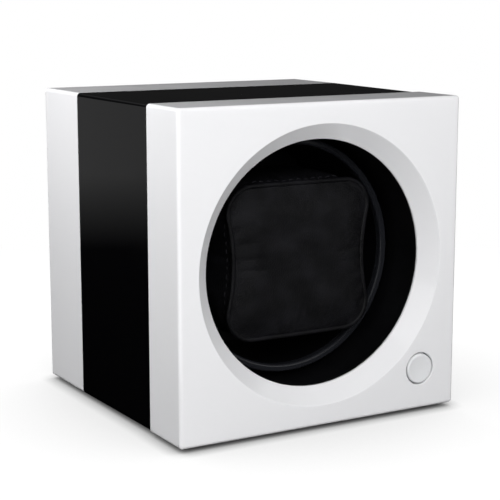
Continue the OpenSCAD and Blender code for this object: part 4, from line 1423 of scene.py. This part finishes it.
@dataclass
class Studio:
    """Pale floor and backdrop, soft lamps and the camera.

    Attributes:
        camera_place: place of the camera, in metres.
        yaw: turn of the camera about Z, in degrees; 0 looks along +Y.
        pitch: how far it looks down, in degrees.
        lens: focal length for a 36 mm wide image.
        floor_reach: half the side of the floor, in metres.
        fade: distances from the middle between which the floor turns to plain white, in metres.
        card_seen: grey of the floor's card to the camera.
        card_lit: grey of the card whose light falls back on the object.
        glow: light that the camera sees added to the card.
        painted_contact_shade: reach in millimetres and strength of each painted shade under the object, which
            darkens the glow by ambient occlusion.
        flag: distances between which polish sees the floor grow from black, in metres, and how bright.
        room: how bright polish sees the room's walls and its ceiling.
        ceiling: heights, as a share of straight up, between which the walls turn into the ceiling.
        fill: even light from all round.
        lamps: the lamps.
    """

    camera_place: tuple[float, float, float] = (-0.233, -0.4043, 0.1341)
    yaw: float = -30.165
    pitch: float = 10.382
    lens: float = 102.6
    floor_reach: float = 6.0
    fade: tuple[float, float] = (0.14, 0.3)
    card_seen: float = 0.08
    card_lit: float = 0.3
    glow: float = 1.0
    # painted shadow under the object: ambient occlusion darkens the floor's glow, a close one and a broad one
    painted_contact_shade: tuple[tuple[float, float], ...] = ((5.0, 0.8), (90.0, 0.42))
    flag: tuple[float, float, float] = (0.32, 0.62, 0.22)
    room: tuple[float, float] = (0.015, 0.5)
    ceiling: tuple[float, float] = (0.3, 0.8)
    fill: float = 0.1
    lamps: tuple[Lamp, ...] = (
        Lamp("key_softbox", (-0.08, -0.42, 0.24), (0.3, 0.3), 1.5, glossy=False),
        Lamp("front_softbox", (-0.32, -0.32, 0.25), (0.3, 0.3), 0.37),
        Lamp("left_softbox", (-0.2, 0.0, 0.2), (0.12, 0.12), 0.28, glossy=False),
        Lamp("rear_left_softbox", (-0.14, 0.06, 0.2), (0.06, 0.06), 0.07, (-0.05, 0.03, 0.08), glossy=False),
        Lamp("right_wall", (0.6, -0.9, 0.2), (0.5, 0.3), 0.6),
        Lamp("top_back", (0.0, 0.3, 0.3), (0.25, 0.1), 0.55, glossy=False),
        Lamp("rear_right_softbox", (0.45, 0.28, 0.11), (0.3, 0.2), 1.0, glossy=False),
        Lamp("edge_strip", (-0.125, -0.09, 0.045), (0.08, 0.12), 0.07, (-0.05, -0.045, 0.045), diffuse=False),
    )

    def camera(self) -> None:
        """Sets up the camera."""
        data = bpy.data.cameras.new("camera")
        data.lens = self.lens
        data.sensor_width = 36.0
        data.clip_start = 0.01
        data.clip_end = 100.0
        camera = bpy.data.objects.new("camera", data)
        camera.location = self.camera_place
        camera.rotation_euler = (math.radians(90 - self.pitch), 0.0, math.radians(self.yaw))
        bpy.context.scene.collection.objects.link(camera)
        bpy.context.scene.camera = camera

    def floor_material(self) -> bpy.types.Material:
        """Makes the floor: matt card that the camera sees lifted to white, under the same shadow.

        Near the object the camera sees the card plus a glow, which together reach white where nothing
        shades it; ambient occlusion darkens that glow under and beside the object, a painted shadow that
        no lamp casts. Further out the glow takes over. Lamps' light falls on a greyer card, and polished
        pieces see it black close by and grey further out, as flags beside the set would give.
        """
        material = bpy.data.materials.new("white_card_floor")
        material.use_nodes = True
        tree = material.node_tree
        tree.nodes.clear()
        white = grey(1.0)
        place = add_node(tree, "TexCoord", give="Object")
        away = add_node(tree, "VectorMath", {0: place}, give="Value", operation="LENGTH")
        near, far = self.fade
        spread = {"Value": away, "From Min": near, "From Max": far}
        out = add_node(tree, "MapRange", spread, interpolation_type="SMOOTHSTEP")
        near, far, most = self.flag
        grown = {"Value": away, "From Min": near, "From Max": far, "To Max": most}
        bright = add_node(tree, "MapRange", grown)
        # painted shadow: ambient occlusion darkens the glow that the camera sees, apart from any lamp's
        # shadow
        shade: Any = self.glow
        for reach_mm, power in self.painted_contact_shade:
            reach = {"Color": white, "Distance": reach_mm * MM}
            hidden = add_node(tree, "AmbientOcclusion", reach, give="AO", samples=12)
            depth = add_node(tree, "Math", {0: hidden, 1: power}, operation="POWER")
            shade = add_node(tree, "Math", {0: shade, 1: depth}, operation="MULTIPLY")
        card = add_node(tree, "BsdfDiffuse", {"Color": grey(self.card_seen)})
        glow = add_node(tree, "Emission", {"Color": white, "Strength": shade})
        lit = add_node(tree, "AddShader", {0: card, 1: glow})
        plain = add_node(tree, "Emission", {"Color": white, "Strength": 1.0})
        seen = add_node(tree, "MixShader", {0: out, 1: lit, 2: plain})
        matt = add_node(tree, "BsdfDiffuse", {"Color": grey(self.card_lit)})
        flag = add_node(tree, "Emission", {"Color": white, "Strength": bright})
        self.by_ray(tree, "OutputMaterial", matt, flag, seen)
        return material

    def by_ray(self, tree: Tree, output: str, matt: Any, polish: Any, camera: Any) -> None:
        """Shows one shader to matt surfaces, one to polished ones and one to the camera.

        Args:
            tree: the node tree.
            output: kind of the output node.
            matt: the shader that lights matt surfaces.
            polish: the shader that reflections show.
            camera: the shader that the camera sees.
        """
        glossy = add_node(tree, "LightPath", give="Is Glossy Ray")
        others = add_node(tree, "MixShader", {0: glossy, 1: matt, 2: polish})
        direct = add_node(tree, "LightPath", give="Is Camera Ray")
        add_node(tree, output, {"Surface": add_node(tree, "MixShader", {0: direct, 1: others, 2: camera})})

    def floor(self) -> None:
        """Lays the floor."""
        reach = self.floor_reach / MM
        corners = reach * np.array([[-1.0, -1.0, 0.0], [1.0, -1.0, 0.0], [1.0, 1.0, 0.0], [-1.0, 1.0, 0.0]])
        shape = Shape(corners, [np.arange(4)[None]])
        plane = mesh_object("studio_floor", shape, self.floor_material(), smooth=False)

    def world(self) -> None:
        """Surrounds the set: a low fill, to polish a dark room with a bright ceiling, to the camera white."""
        world = bpy.data.worlds.new("studio_world")
        world.use_nodes = True
        tree = world.node_tree
        tree.nodes.clear()
        up = add_node(tree, "SeparateXYZ", {0: add_node(tree, "TexCoord", give="Generated")}, give="Z")
        walls, ceiling = self.room
        low, high = self.ceiling
        rise = {"Value": up, "From Min": low, "From Max": high, "To Min": walls, "To Max": ceiling}
        bright = add_node(tree, "MapRange", rise, interpolation_type="SMOOTHSTEP")
        levels = [{"Color": grey(1.0), "Strength": level} for level in (self.fill, bright, 1.0)]
        self.by_ray(tree, "OutputWorld", *[add_node(tree, "Background", level) for level in levels])
        bpy.context.scene.world = world

    def build(self) -> None:
        """Sets the whole studio up."""
        self.camera()
        self.floor()
        self.world()
        for lamp in self.lamps:
            lamp.build()
        bpy.context.scene.view_settings.view_transform = "Standard"


# ---- assembly -----------------------------------------------------------------------------------


def dress_frame(frame: dict[str, Any], finishes: Finishes) -> None:
    """Gives every construction node the finish of its material slot.

    Args:
        finishes: the materials.
    """
    for name, node in frame["nodes"].items():
        for slot in node.material_slots:
            look = SLOT_LOOKS[slot.material.name]
            slot.material = finishes.get(look)
            LOG.info("dressed %s in %s", name, look.value.name)


def main() -> None:
    """Builds the studio and every piece, and reports each."""
    logging.basicConfig(level=logging.INFO, format="%(message)s")
    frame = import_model()
    Studio().build()
    finishes = Finishes()
    dress_frame(frame, finishes)
    block = Block()
    for part in (FrontShell, Sleeve, StartButton, ButtonSpring, PanelPrint, RotorRim, Cushion):
        for piece in part(block).build(finishes):
            LOG.info("made %s with %d faces", piece.name, len(piece.data.polygons))


if __name__ == "__main__":
    main()
